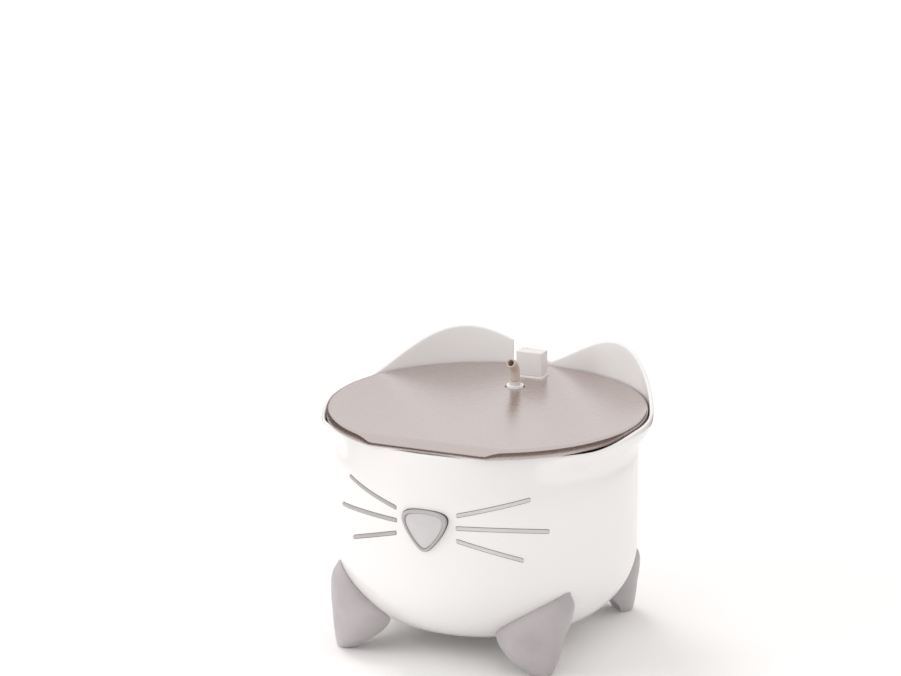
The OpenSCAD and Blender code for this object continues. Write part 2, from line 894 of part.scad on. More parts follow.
module pump_housing() {
    color([0.84, 0.81, 0.79])
        at_pump(0)
            difference() {
                union() {
                    linear_extrude(pump_h)
                        offset(r = 2.5)
                            square([pump_l - 5, pump_w - 5], center = true);
                    translate([nozzle_x, nozzle_y, 0])
                        cylinder(r = spigot_r, h = pump_h + nozzle_h);
                }
                potting_space(0);
                along_rotor(well_y)
                    cylinder(r = well_r, h = 40);
                along_rotor(impeller_y - 3)
                    cylinder(r = chamber_r, h = 40);
                along_rotor(well_y - 2.5)
                    cylinder(r = 2, h = 5);
                translate([nozzle_x, nozzle_y, rotor_z])
                    cylinder(r = spigot_bore_r, h = 60);
                translate([-pump_l / 2 - 1, 4.5, 8.4])
                    rotate([0, 90, 0])
                        cylinder(r = 1.65, h = 3, $fn = 48);
                translate([-pump_l / 2 - 1, 5, 16.8])
                    rotate([0, 90, 0])
                        cylinder(r = 1.45, h = 3, $fn = 48);
                translate([-pump_l / 2 - 1, -11, 24.5])
                    rotate([0, 90, 0])
                        cylinder(r = 2.5, h = 4, $fn = 48);
                translate([-pump_l / 2 - 1, 9, 22.5])
                    rotate([0, 90, 0])
                        cylinder(r = 1.55, h = 4, $fn = 48);
            }
}

module pump_base() {
    color([0.78, 0.76, 0.75])
        at_pump(-1.7)
            difference() {
                linear_extrude(1.6)
                    offset(r = 2.5)
                        square([pump_l - 7, pump_w - 7], center = true);
                for (x = [-1, 1], y = [-1, 1])
                    translate([x * 16, y * 8, -1])
                        cylinder(r = 1.6, h = 5, $fn = 48);
            }
}

// The cover closes the pumping chamber and lets water in through slots round its middle.
module pump_cover() {
    color([0.8, 0.78, 0.77])
        at_pump(0)
            difference() {
                along_rotor(cover_y)
                    cylinder(r = chamber_r + 1.3, h = 2.4);
                along_rotor(cover_y - 1)
                    cylinder(r = 2, h = 2.6);
                for (k = [0 : 7])
                    translate([rotor_x, cover_y - 1, rotor_z])
                        rotate([0, 45 * k, 0])
                            translate([4, 0, -1])
                                cube([6, 5, 2]);
            }
}

impeller_r = chamber_r - 1.9;

module impeller() {
    color([0.9, 0.9, 0.88])
        at_pump(0)
            difference() {
                union() {
                    along_rotor(impeller_y)
                        cylinder(r = impeller_r, h = 1);
                    along_rotor(impeller_y)
                        cylinder(r = 2.8, h = 4.6);
                    for (k = [0 : 5])
                        translate([rotor_x, impeller_y + 0.5, rotor_z])
                            rotate([0, 60 * k, 0])
                                translate([2, 0, -0.5])
                                    cube([impeller_r - 2.2, 4, 1]);
                }
                along_rotor(0)
                    cylinder(r = shaft_r + slide_gap, h = 30, $fn = 48);
            }
}

module rotor_magnet() {
    color([0.25, 0.25, 0.27])
        at_pump(0)
            difference() {
                along_rotor(magnet_y)
                    cylinder(r = well_r - 0.8, h = 13.4);
                along_rotor(magnet_y - 5.5)
                    cylinder(r = shaft_r + slide_gap, h = 30, $fn = 48);
            }
}

module rotor_shaft() {
    color("silver")
        at_pump(0)
            along_rotor(well_y - 1)
                cylinder(r = shaft_r, h = cover_y + 2.2 - well_y, $fn = 48);
}

module shaft_bushes() {
    color("linen")
        at_pump(0)
            for (y = [well_y - 2.3, cover_y + 0.1])
                difference() {
                    along_rotor(y)
                        cylinder(r = 1.92, h = y < 0 ? 4.2 : 1.4, $fn = 48);
                    along_rotor(y < 0 ? well_y - 1 - slide_gap : y - 1)
                        cylinder(r = shaft_r + 0.03, h = y < 0 ? 10 : 2.2, $fn = 48);
                }
}

// A C-shaped iron core whose middle limb carries the coil.
module stator_core() {
    color([0.5, 0.5, 0.52])
        at_pump(0) {
            translate([-16.4, -10, 2])
                cube([3.6, 12, 22.8]);
            for (z = [2, 22.3])
                translate([-16.4, -10, z])
                    cube([8, 12, 2.5]);
        }
}

module stator_coil() {
    color([0.72, 0.42, 0.2])
        at_pump(0)
            difference() {
                translate([-19.8, -11.4, 5])
                    cube([10.4, 14.8, 16.8]);
                translate([-16.6, -10.2, 0])
                    cube([4, 12.4, 40]);
            }
}

module flow_knob() {
    color([0.62, 0.6, 0.6])
        at_pump(0)
            translate([-pump_l / 2, 9, 22.5])
                rotate([0, -90, 0])
                    difference() {
                        union() {
                            translate([0, 0, 0.2])
                                cylinder(r = knob_r, h = 8);
                            translate([0, 0, -2.5])
                                cylinder(r = 1.5, h = 4, $fn = 48);
                        }
                        translate([-0.6, -6, 7])
                            cube([1.2, 12, 3]);
                    }
}

module led_lens() {
    color("red")
        at_pump(0)
            translate([-pump_l / 2, 4.5, 8.4])
                rotate([0, -90, 0]) {
                    translate([0, 0, -1.9])
                        cylinder(r = 1.6, h = 1.9, $fn = 48);
                    sphere(r = 1.3, $fn = 48);
                }
}

module level_sensor() {
    color([0.6, 0.6, 0.58])
        at_pump(0)
            translate([-pump_l / 2 - 0.4, 5, 16.8])
                rotate([0, 90, 0])
                    cylinder(r = 1.4, h = 2.3, $fn = 48);
}

module cord_gland() {
    color([0.66, 0.65, 0.65])
        at_pump(0)
            translate([-pump_l / 2 + 2.8, -11, 24.5])
                rotate([0, -90, 0])
                    difference() {
                        union() {
                            cylinder(r = 2.45, h = 3);
                            translate([0, 0, 2.9])
                                cylinder(r1 = 3.4, r2 = 2.9, h = 4.6);
                        }
                        translate([0, 0, 2])
                            cylinder(r = cord_r + slide_gap, h = 10);
                    }
}

module suction_cups() {
    color([0.82, 0.82, 0.82, 0.7])
        at_pump(0)
            for (x = [-1, 1], y = [-1, 1])
                translate([x * 16, y * 8, 0]) {
                    translate([0, 0, -1.8])
                        cylinder(r = 1.55, h = 1.7, $fn = 48);
                    translate([0, 0, -pump_z + base_z + 5.6])
                        rotate_extrude($fn = 64)
                            polygon([[0, 1.2], [5.4, 0], [6.4, 0], [6, 0.9], [2.6, 2.3], [2.6, 3.6], [0, 3.6]]);
                }
}

// ---- cords: a tube swept along points chosen by hand ----
inner_route = [[-5.95, 6.09, 48.5], [-8.41, 2.94, 48.5], [-13.3, -3.3, 47.3], [-23.5, -14.5, 41.5],
    [-36, -24, 33.5], [-47, -30, 27], [-56.5, -29.7, 23.5], [-62.5, -21.5, 22.5], [-65, -8, 22.4],
    [-63, 8, 22.4], [-58, 24, 22.4], [-50.5, 41, 22.7], [-43.5, 54, 25.5], [-38, 63, 33.5],
    [-34.5, 68, 46], [-32.6, 69.4, 64], [-32, 69.4, 84], [-31.2, 69.3, 110], [-30.5, 69.3, 123],
    [-30.1, 69.3, 130.3], [-29.6, 70.1, 134.7], [-28.6, 72.4, 138.1], [-27.2, 75.8, 140.4],
    [-25.5, 79.8, 141.2], [-22.9, 87, 141.3], [-22, 93.6, 141.2]];
outer_route = [[-22, 94, 141.2], [-22, 103, 141.2], [-22, 111, 141.2], [-22, 117, 139.6], [-22, 121.4, 135.2],
    [-22, 123, 129.2], [-22, 123, 100], [-21.6, 123, 70], [-21, 123, 40], [-20.4, 123, 16.1],
    [-20, 124.9, 9.1], [-20, 130, 4], [-20, 137, 2.1], [-20, 147, 2.1]];
lead_route = [[-76, 154, 10.1], [-76.9, 149.5, 9.7], [-79.5, 145.9, 8.6], [-83, 143.8, 7.1],
    [-86.5, 141.8, 5.6], [-89.1, 138.1, 4.5], [-90, 133.7, 4.1], [-90, 132.25, 4.1]];

// A smooth curve through the points: point number i and share t of the way to the next.
function route_at(p, i, t) = let (n = len(p) - 1, a = p[max(0, i - 1)], b = p[i], c = p[min(n, i + 1)],
        d = p[min(n, i + 2)])
    b + t / 2 * (c - a + t * (2 * a - 5 * b + 4 * c - d + t * (3 * (b - c) + d - a)));
function unit(v) = v / norm(v);

module cord(route, per) {
    path = concat([for (i = [0 : len(route) - 2], k = [0 : per - 1]) route_at(route, i, k / per)],
        [route[len(route) - 1]]);
    n = len(path);
    rings = [for (i = [0 : n - 1]) let (t = unit(path[min(n - 1, i + 1)] - path[max(0, i - 1)]),
            s = unit(cross(t, unit([0.31, 0.9, -0.3]))), u = cross(s, t))
        [for (k = [0 : 7]) path[i] + cord_r * (cos(45 * k) * u + sin(45 * k) * s)]];
    about_axis()
        loft(rings);
}

module cord_inner() {
    color([0.62, 0.61, 0.6])
        cord(inner_route, 3);
}

module cord_outer() {
    color([0.62, 0.61, 0.6])
        cord(outer_route, 4);
}

module plug_lead() {
    color([0.62, 0.61, 0.6])
        cord(lead_route, 3);
}

module cord_coil() {
    color([0.62, 0.61, 0.6])
        about_axis()
            translate([coil_c[0], coil_c[1], 0.1])
                rotate_extrude()
                    translate([coil_r - coil_t, 0])
                        square(coil_t);
}

module coil_tie() {
    color([0.3, 0.3, 0.3])
        about_axis()
            translate([coil_c[0], coil_c[1] + coil_r - coil_t / 2, 0])
                difference() {
                    translate([-3, -coil_t / 2 - 1.4, 0])
                        cube([6, coil_t + 2.8, coil_t + 1.4]);
                    translate([-4, -coil_t / 2 - 0.5, -1])
                        cube([8, coil_t + 1, coil_t + 1.4]);
                }
}

module usb_plug_body() {
    color([0.62, 0.61, 0.6])
        about_axis()
            translate(plug_at)
                rotate([90, 0, 0])
                    linear_extrude(plug_body_l)
                        offset(r = 2)
                            square([11.8, 4.1], center = true);
}

module usb_plug_shell() {
    color("silver")
        about_axis()
            translate(plug_at - [0, plug_body_l + seat_gap, 0])
                rotate([90, 0, 0])
                    linear_extrude(18)
                        difference() {
                            square([12, 4.5], center = true);
                            translate([0, 0.4])
                                square([11.2, 2.9], center = true);
                        }
}

reservoir();
foot_front_left();
foot_front_right();
foot_rear_left();
foot_rear_right();
nose_bezel();
nose_cap();
whiskers();
cord_grommet();
deck();
tower_window();
steel_top();
spout_collar();
spout_elbow();
riser_tube();
filter_tray();
filter_sheet();
carbon_pockets();
resin_pockets();
carbon_granules();
resin_granules();
pump_housing();
pump_base();
pump_cover();
impeller();
rotor_magnet();
rotor_shaft();
shaft_bushes();
stator_core();
stator_coil();
flow_knob();
led_lens();
level_sensor();
cord_gland();
suction_cups();
cord_inner();
cord_outer();
cord_coil();
coil_tie();
plug_lead();
usb_plug_body();
usb_plug_shell();
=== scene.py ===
# %% [markdown]
# # A drinking fountain for cats
# The fountain is a white pot with two ears, four soft feet and a cat's face. A steel top and a plastic deck
# cover it, and under them hang a filter tray and a small pump. Everything lifts out, so each loose piece
# here rides on its own body of the imported model, the frame. This first cell loads that frame, and a helper
# reads the box of any of its nodes.

# %% Load the frame
import math

import bmesh
import bpy
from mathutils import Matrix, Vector


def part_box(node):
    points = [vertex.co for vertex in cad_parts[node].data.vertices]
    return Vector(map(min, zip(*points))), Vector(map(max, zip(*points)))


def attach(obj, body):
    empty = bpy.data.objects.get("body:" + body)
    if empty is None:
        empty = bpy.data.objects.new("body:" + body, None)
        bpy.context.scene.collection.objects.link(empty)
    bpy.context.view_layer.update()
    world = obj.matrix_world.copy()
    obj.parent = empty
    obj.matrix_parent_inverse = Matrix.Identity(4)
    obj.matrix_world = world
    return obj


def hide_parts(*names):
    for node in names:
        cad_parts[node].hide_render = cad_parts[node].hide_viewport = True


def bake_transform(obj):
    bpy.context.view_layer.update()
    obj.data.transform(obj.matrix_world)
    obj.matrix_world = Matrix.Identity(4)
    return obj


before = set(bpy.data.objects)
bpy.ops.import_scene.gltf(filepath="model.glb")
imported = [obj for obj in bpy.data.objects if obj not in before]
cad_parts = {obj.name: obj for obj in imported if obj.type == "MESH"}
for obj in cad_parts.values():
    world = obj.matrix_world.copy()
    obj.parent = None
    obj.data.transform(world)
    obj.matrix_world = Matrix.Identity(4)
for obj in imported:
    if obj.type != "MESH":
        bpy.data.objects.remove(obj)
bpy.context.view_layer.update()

# %% [markdown]
# Sizes are easier to read in millimetres, and most of this fountain is round about the pot's own axis,
# which stands a little in front of the origin. The deck is a round plate about that axis with only its
# front cut straight, so the frame's own numbers give both its radius and the place of the axis.

# %% Millimetres, and the pot's axis
MM = 0.001
deck_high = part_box("deck")[1]
AXIS_Y = (deck_high.y - deck_high.x) / MM


def place(x, y, z):
    """A point given in millimetres from the pot's axis, in the frame's metres."""
    return Vector((x, y + AXIS_Y, z)) * MM


def at_angle(angle, radius, z):
    """The point at that angle in degrees, counted from the pot's front, radius and height."""
    turn = math.radians(angle)
    return place(radius * math.sin(turn), -radius * math.cos(turn), z)


print(f"the pot's axis stands at y = {AXIS_Y:.2f} mm")

# %% [markdown]
# ## The camera
# The camera stands to the right of the face and looks down a little. It is a long lens from far away,
# which keeps the ellipses of the round plates flat and calm. The picture is 901 pixels wide and 676 high,
# and a lens length of f pixels is f / 901 times the sensor's width.

# %% Camera
IMAGE_W = 901
SENSOR_MM = 36
FOCAL_PX = 4000
SWING, TILT = 24, 15.2
DISTANCE = 2.650
AIM_RIGHT, AIM_UP = -0.0245, 0.202

swing, tilt = math.radians(SWING), math.radians(TILT)
toward_camera = Vector((math.sin(swing) * math.cos(tilt), -math.cos(swing) * math.cos(tilt), math.sin(tilt)))
right_hand = Vector((math.cos(swing), math.sin(swing), 0))
aim = place(0, 0, 0) + right_hand * AIM_RIGHT + Vector((0, 0, AIM_UP))

camera_data = bpy.data.cameras.new("camera")
camera_data.sensor_width = SENSOR_MM
camera_data.lens = FOCAL_PX / IMAGE_W * SENSOR_MM
camera_data.clip_end = 20
camera = bpy.data.objects.new("camera", camera_data)
bpy.context.scene.collection.objects.link(camera)
camera.location = aim + toward_camera * DISTANCE
camera.rotation_mode = "QUATERNION"
camera.rotation_quaternion = (-toward_camera).to_track_quat("-Z", "Y")
bpy.context.scene.camera = camera
print(f"lens of {camera_data.lens:.1f} mm at {DISTANCE} m")

# %% [markdown]
# ## Helpers that build meshes
# Nearly every piece is a skin stretched over rings of points, a loft. One helper joins the rings with
# quads and closes the ends, and one turns a list of points and faces into an object. The shading is smooth,
# and only edges sharper than a chosen angle stay crisp.

# %% From rings to an object
collection = bpy.context.scene.collection
WELD = 1e-7


def finished(work, made):
    """Writes a worked mesh to that object, and frees it."""
    work.to_mesh(made.data)
    work.free()
    return made


def new_object(name, mesh=None):
    """An object in the scene with that mesh, or with an empty one."""
    made = bpy.data.objects.new(name, mesh or bpy.data.meshes.new(name))
    collection.objects.link(made)
    return made


def mesh_object(name, points, faces, crisp=35):
    """An object from points and faces, smooth except at edges sharper than crisp degrees."""
    made = new_object(name)
    made.data.from_pydata([tuple(p) for p in points], [], faces)
    work = bmesh.new()
    work.from_mesh(made.data)
    bmesh.ops.remove_doubles(work, verts=work.verts, dist=WELD)
    bmesh.ops.recalc_face_normals(work, faces=work.faces)
    finished(work, made)
    smooth_by_angle(made.data, crisp)
    return made


def smooth_by_angle(mesh, crisp):
    """Shades the mesh smooth and marks the edges above that angle sharp."""
    mesh.polygons.foreach_set("use_smooth", [True] * len(mesh.polygons))
    mesh.set_sharp_from_angle(angle=math.radians(crisp))
    mesh.update()


def ring_faces(count, rings, loop=False, start=True, end=True):
    """Quads between rings of count points each; the ends are capped, or the last ring joins the first."""
    faces = []
    for j in range(rings if loop else rings - 1):
        below, above = j * count, (j + 1) % rings * count
        for i in range(count):
            k = (i + 1) % count
            faces.append((below + i, below + k, above + k, above + i))
    if not loop and start:
        faces.append(tuple(range(count - 1, -1, -1)))
    if not loop and end:
        faces.append(tuple((rings - 1) * count + i for i in range(count)))
    return faces


def loft(name, rings, loop=False, start=True, end=True, crisp=35):
    """A skin over rings that all have the same number of points."""
    points = [p for ring in rings for p in ring]
    return mesh_object(name, points, ring_faces(len(rings[0]), len(rings), loop, start, end), crisp)


def smooth_step(x):
    """0 below 0, 1 above 1, and a soft S between them."""
    t = min(1.0, max(0.0, x))
    return t * t * (3 - 2 * t)


def dress(piece, body, material, replaced=()):
    """Gives a piece its material, the body that it rides on, and the frame's nodes that it stands for."""
    piece.data.materials.clear()
    piece.data.materials.append(material)
    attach(piece, body)
    if replaced:
        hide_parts(*replaced)
    return piece


# %% [markdown]
# Small moulded pieces already have their right shape in the frame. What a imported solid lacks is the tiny
# round on every edge that catches the light. One helper copies a node's mesh, welds it, merges the flat
# faces and bevels what is sharp. The other dresses such a copy, so that it can stand for the node.

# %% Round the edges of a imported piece
FLAT, SHARP = math.radians(1.5), 32
PACKED_WELD = 2e-6


def rounded(node, radius_mm, segments=3, name=None):
    """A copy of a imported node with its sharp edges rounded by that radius."""
    made = new_object(name or node + "_skin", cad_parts[node].data.copy())
    work = bmesh.new()
    work.from_mesh(made.data)
    bmesh.ops.remove_doubles(work, verts=work.verts, dist=PACKED_WELD)
    bmesh.ops.dissolve_limit(work, angle_limit=FLAT, verts=work.verts, edges=work.edges)
    bmesh.ops.recalc_face_normals(work, faces=work.faces)
    sharp = [e for e in work.edges if len(e.link_faces) == 2 and e.calc_face_angle(0) > math.radians(SHARP)]
    bmesh.ops.bevel(work, geom=sharp, offset=radius_mm * MM, offset_type="OFFSET", segments=segments,
                    profile=0.5, affect="EDGES", clamp_overlap=True)
    bmesh.ops.remove_doubles(work, verts=work.verts, dist=WELD)
    finished(work, made)
    for layer in ("custom_normal", "sharp_edge", "sharp_face"):
        if layer in made.data.attributes:
            made.data.attributes.remove(made.data.attributes[layer])
    smooth_by_angle(made.data, SHARP)
    print(f"{made.name}: {len(sharp)} edges rounded, {len(made.data.polygons)} faces")
    return made


def reskin(node, radius_mm, body, material, slot, segments=3, name=None):
    """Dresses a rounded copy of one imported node, which it stands for."""
    return dress(rounded(node, radius_mm, segments, name), body, material, [node])


# %% [markdown]
# Some shapes are easiest to cut: the pocket in the pot's rear wall, for one. The exact Boolean modifier
# joins or cuts two closed meshes, and its result is then written back as a plain mesh.

# %% Join, cut and keep what two meshes share
def combine(target, tool, how):
    """Applies a Boolean of tool to target, and deletes tool. how is UNION, DIFFERENCE or INTERSECT."""
    cut = target.modifiers.new("combine", "BOOLEAN")
    cut.operation, cut.object, cut.solver = how, tool, "EXACT"
    scene_now = bpy.context.evaluated_depsgraph_get()
    result = bpy.data.meshes.new_from_object(target.evaluated_get(scene_now))
    target.modifiers.clear()
    target.data = result
    bpy.data.objects.remove(tool)


def block(name, low, high, radius_mm, segments=4, only_upright=False):
    """A closed box between two corners, in millimetres from the pot's axis, with round edges."""
    work = bmesh.new()
    bmesh.ops.create_cube(work, size=1)
    for v in work.verts:
        v.co = place(*[low[k] + (high[k] - low[k]) * (v.co[k] + 0.5) for k in range(3)])
    edges = [e for e in work.edges if not only_upright or abs(e.verts[0].co.z - e.verts[1].co.z) > 1e-6]
    bmesh.ops.bevel(work, geom=edges, offset=radius_mm * MM, segments=segments, profile=0.5, affect="EDGES")
    return finished(work, new_object(name))


# %% [markdown]
# ## The finishes
# A surface looks real when light does not fall on it quite evenly. Three effects come back in many
# finishes here, so each is a node group with named inputs: a fine moulded grain, a cloudy change of tint,
# and long fine scratches. Each group puts out values only. The Principled shader stays in the material,
# where its fixed numbers are easy to find.

# %% Helpers for node groups and materials
def new_group(name, inputs, outputs):
    """An empty shader node group with named sockets, and its input and output nodes."""
    group = bpy.data.node_groups.new(name, "ShaderNodeTree")
    for label, kind, value in inputs:
        socket = group.interface.new_socket(name=label, in_out="INPUT", socket_type="NodeSocket" + kind)
        socket.default_value = value
    for label, kind in outputs:
        group.interface.new_socket(name=label, in_out="OUTPUT", socket_type="NodeSocket" + kind)
    return group, group.nodes.new("NodeGroupInput"), group.nodes.new("NodeGroupOutput")


def fill(tree, node, links):
    """Joins or sets the inputs of a node from pairs: an input, and a socket or a value for it."""
    for label, source in links:
        if isinstance(source, bpy.types.NodeSocket):
            tree.links.new(source, node.inputs[label])
        else:
            node.inputs[label].default_value = source


def add(tree, kind, links=(), **settings):
    """Adds a shader node, sets its properties and then fills its inputs."""
    node = tree.nodes.new("ShaderNode" + kind)
    for key, value in settings.items():
        setattr(node, key, value)
    fill(tree, node, links)
    return node


def new_material(name):
    """An empty material with its node tree and its Principled shader."""
    material = bpy.data.materials.new(name)
    material.use_nodes = True
    return material, material.node_tree, material.node_tree.nodes["Principled BSDF"]


# %% [markdown]
# Moulded plastic copies the steel mould, which is never a perfect mirror. The grain group answers with a
# small height for the Bump node and with a roughness that drifts a little over the surface.

# %% Group: moulded grain
grain, g_in, g_out = new_group(
    "moulded_grain",
    [("Grain Size", "Float", 900.0), ("Roughness", "Float", 0.3), ("Drift", "Float", 0.05)],
    [("Height", "Float"), ("Roughness", "Float")],
)
where = add(grain, "TexCoord").outputs["Object"]
fine = add(grain, "TexNoise", [("Vector", where), ("Scale", g_in.outputs["Grain Size"]), ("Detail", 2.0)])
broad = add(grain, "TexNoise", [("Vector", where), ("Scale", 28.0), ("Detail", 3.0)])
centred = add(grain, "Math", [(0, broad.outputs["Fac"]), (1, 0.5)], operation="SUBTRACT")
drift = add(grain, "Math", [(0, centred.outputs[0]), (1, g_in.outputs["Drift"])], operation="MULTIPLY")
rough = add(grain, "Math", [(0, drift.outputs[0]), (1, g_in.outputs["Roughness"])], operation="ADD")
fill(grain, g_out, [("Height", fine.outputs["Fac"]), ("Roughness", rough.outputs[0])])
print("group", grain.name, "has", len(grain.nodes), "nodes")

# %% [markdown]
# The tint group mixes two close colours by a soft noise. It keeps a plain colour from looking painted on.

# %% Group: cloudy tint
tint, t_in, t_out = new_group(
    "cloudy_tint",
    [("Light", "Color", (1, 1, 1, 1)), ("Dark", "Color", (0.8, 0.8, 0.8, 1)), ("Cloud Size", "Float", 30.0)],
    [("Color", "Color")],
)
where = add(tint, "TexCoord").outputs["Object"]
cloud = add(tint, "TexNoise", [("Vector", where), ("Scale", t_in.outputs["Cloud Size"]), ("Detail", 4.0)])
share = add(tint, "MapRange",
            [("Value", cloud.outputs["Fac"]), ("From Min", 0.35), ("From Max", 0.65)])
mixed = add(tint, "Mix", [(0, share.outputs["Result"]), (6, t_in.outputs["Light"]), (7, t_in.outputs["Dark"])],
            data_type="RGBA")
fill(tint, t_out, [("Color", mixed.outputs[2])])
print("group", tint.name, "has", len(tint.nodes), "nodes")

# %% [markdown]
# Brushed steel carries thousands of fine scratches in one direction. Noise that is stretched a hundred
# times along one axis draws them, and the same lines serve as height, roughness and tint.

# %% Group: brushed lines
brush, b_in, b_out = new_group(
    "brushed_lines",
    [("Line Width", "Float", 0.35), ("Roughness", "Float", 0.3), ("Contrast", "Float", 0.1)],
    [("Height", "Float"), ("Roughness", "Float"), ("Mask", "Float")],
)
where = add(brush, "TexCoord").outputs["Object"]
per_metre = add(brush, "Math", [(0, 1000.0), (1, b_in.outputs["Line Width"])], operation="DIVIDE")
stretched = add(brush, "Mapping", [("Vector", where), ("Scale", (0.012, 1, 1))])
lines = add(brush, "TexNoise",
            [("Vector", stretched.outputs[0]), ("Scale", per_metre.outputs[0]), ("Detail", 3.0)])
centred = add(brush, "Math", [(0, lines.outputs["Fac"]), (1, 0.5)], operation="SUBTRACT")
change = add(brush, "Math", [(0, centred.outputs[0]), (1, b_in.outputs["Contrast"])], operation="MULTIPLY")
rough = add(brush, "Math", [(0, change.outputs[0]), (1, b_in.outputs["Roughness"])], operation="ADD")
fill(brush, b_out,
     [("Height", lines.outputs["Fac"]), ("Mask", lines.outputs["Fac"]), ("Roughness", rough.outputs[0])])
print("group", brush.name, "has", len(brush.nodes), "nodes")

# %% [markdown]
# One function starts every material from the grain and tint groups. A finish differs from the next in its
# two colours, its gloss and the depth of its grain, and anything rarer, such as a coat, a sheen or light
# passing through, is set on the shader's own sockets.

# %% Start a material
def srgb(red, green, blue):
    """A colour as picked from a swatch (0 to 255), in the linear light that shaders use."""
    def linear(value):
        value /= 255
        return value / 12.92 if value <= 0.04045 else ((value + 0.055) / 1.055) ** 2.4

    return (linear(red), linear(green), linear(blue), 1)


GRAIN_DEPTH = 0.0001  # metres, of the moulded grain and of the brushed lines


def finish(name, light, dark, roughness, cloud=30.0, grain_size=900.0, bump=0.05, drift=0.06, **fixed):
    """A material that drifts between two swatch colours. fixed holds sockets of the shader, by name."""
    material, tree, shader = new_material(name)
    colour = add(tree, "Group", [("Light", srgb(*light)), ("Dark", srgb(*dark)), ("Cloud Size", cloud)],
                 node_tree=tint)
    surface = add(tree, "Group", [("Grain Size", grain_size), ("Roughness", roughness), ("Drift", drift)],
                  node_tree=grain)
    relief = add(tree, "Bump", [("Height", surface.outputs["Height"]), ("Strength", bump), ("Distance", GRAIN_DEPTH)])
    fill(tree, shader, [("Base Color", colour.outputs["Color"]), ("Roughness", surface.outputs["Roughness"]),
                        ("Normal", relief.outputs["Normal"])])
    fill(tree, shader, [(label.replace("_", " "), value) for label, value in fixed.items()])
    return material


# %% [markdown]
# The pot, the deck and the tray are white plastics of different gloss. Such a white is almost pure, and that
# keeps the inside of a white pot bright, because light bounces about in there many times. The feet are a
# soft grey rubber with a faint bloom. The whiskers are one grey, painted in two copies: darker on the left of
# the face as painted shade and paler on the right as painted light. A dark finish is painted shade for the
# gaps round the nose and the whiskers.

# %% Plastics and rubbers
pot_white = finish("pot_white", (249, 248, 247), (247, 246, 245), 0.16, cloud=9, bump=0.02,
                   drift=0.03, Coat_Weight=0.3, Coat_Roughness=0.06)
deck_white = finish("deck_white", (251, 249, 247), (249, 247, 245), 0.26, cloud=12, bump=0.03)
foot_grey = finish("foot_grey", (192, 186, 187), (181, 175, 177), 0.46, cloud=45, grain_size=2600,
                   bump=0.22, Sheen_Weight=0.22, Sheen_Roughness=0.5)
nose_border_grey = finish("nose_border_grey", (196, 193, 193), (187, 184, 184), 0.3, bump=0.04)
nose_face_grey = finish("nose_face_grey", (218, 216, 216), (209, 207, 208), 0.24, bump=0.03,
                        Coat_Weight=0.3, Coat_Roughness=0.08)
# The whiskers are one grey in the real piece. These two copies paint it darker on the left as shade and paler on the
# right as light.
whisker_grey = finish("whisker_grey", (190, 188, 187), (180, 178, 177), 0.3, bump=0.04)
whisker_lit = finish("whisker_lit", (222, 220, 219), (214, 212, 211), 0.24, bump=0.04)
# Painted shade: a dark finish for the strips that stand for the shadow in the gaps round the nose and whiskers.
painted_gap_shade = finish("painted_gap_shade", (92, 88, 87), (78, 74, 74), 0.6)
window_grey = finish("window_grey", (246, 243, 241), (241, 238, 236), 0.34, bump=0.04,
                     Transmission_Weight=0.08, IOR=1.5)
tray_frost = finish("tray_frost", (250, 248, 247), (246, 244, 243), 0.3, cloud=18, bump=0.05,
                    Transmission_Weight=0.15, IOR=1.46)
silicone = finish("silicone", (254, 253, 252), (252, 251, 250), 0.22, bump=0.03,
                  Transmission_Weight=0.3, IOR=1.41)
spout_taupe = finish("spout_taupe", (214, 199, 188), (199, 182, 170), 0.36, cloud=60, bump=0.05)
collar_grey = finish("collar_grey", (219, 214, 212), (210, 205, 203), 0.32, bump=0.04)
pump_grey = finish("pump_grey", (228, 221, 216), (220, 213, 208), 0.4, cloud=35, grain_size=2200,
                   bump=0.14)
cover_grey = finish("cover_grey", (222, 216, 211), (213, 207, 202), 0.42, grain_size=2200, bump=0.14)
knob_grey = finish("knob_grey", (186, 180, 178), (174, 168, 166), 0.38, grain_size=2000, bump=0.1)
cord_grey = finish("cord_grey", (200, 197, 196), (190, 187, 186), 0.42, cloud=80, grain_size=3000,
                   bump=0.15)
gland_rubber = finish("gland_rubber", (206, 202, 200), (196, 192, 190), 0.5, grain_size=2600, bump=0.2)
cup_rubber = finish("cup_rubber", (240, 238, 237), (233, 231, 230), 0.3, bump=0.05,
                    Transmission_Weight=0.45, IOR=1.41)
tie_black = finish("tie_black", (38, 37, 38), (28, 27, 28), 0.5, bump=0.2)
sensor_smoke = finish("sensor_smoke", (120, 122, 116), (104, 106, 100), 0.2, Coat_Weight=0.4)
lamp_red = finish("lamp_red", (228, 28, 26), (196, 14, 16), 0.18, Coat_Weight=0.5)
fill(lamp_red.node_tree, lamp_red.node_tree.nodes["Principled BSDF"],
     [("Emission Color", srgb(255, 30, 24)), ("Emission Strength", 0.35)])
print(len(bpy.data.materials), "materials now, with the frame's own")

# %% [markdown]
# The parts inside the pump are never seen in use, but they are real pieces with finishes of their own:
# a turned acetal impeller, a black ferrite magnet, ground steel, ceramic, stacked iron and copper wire.

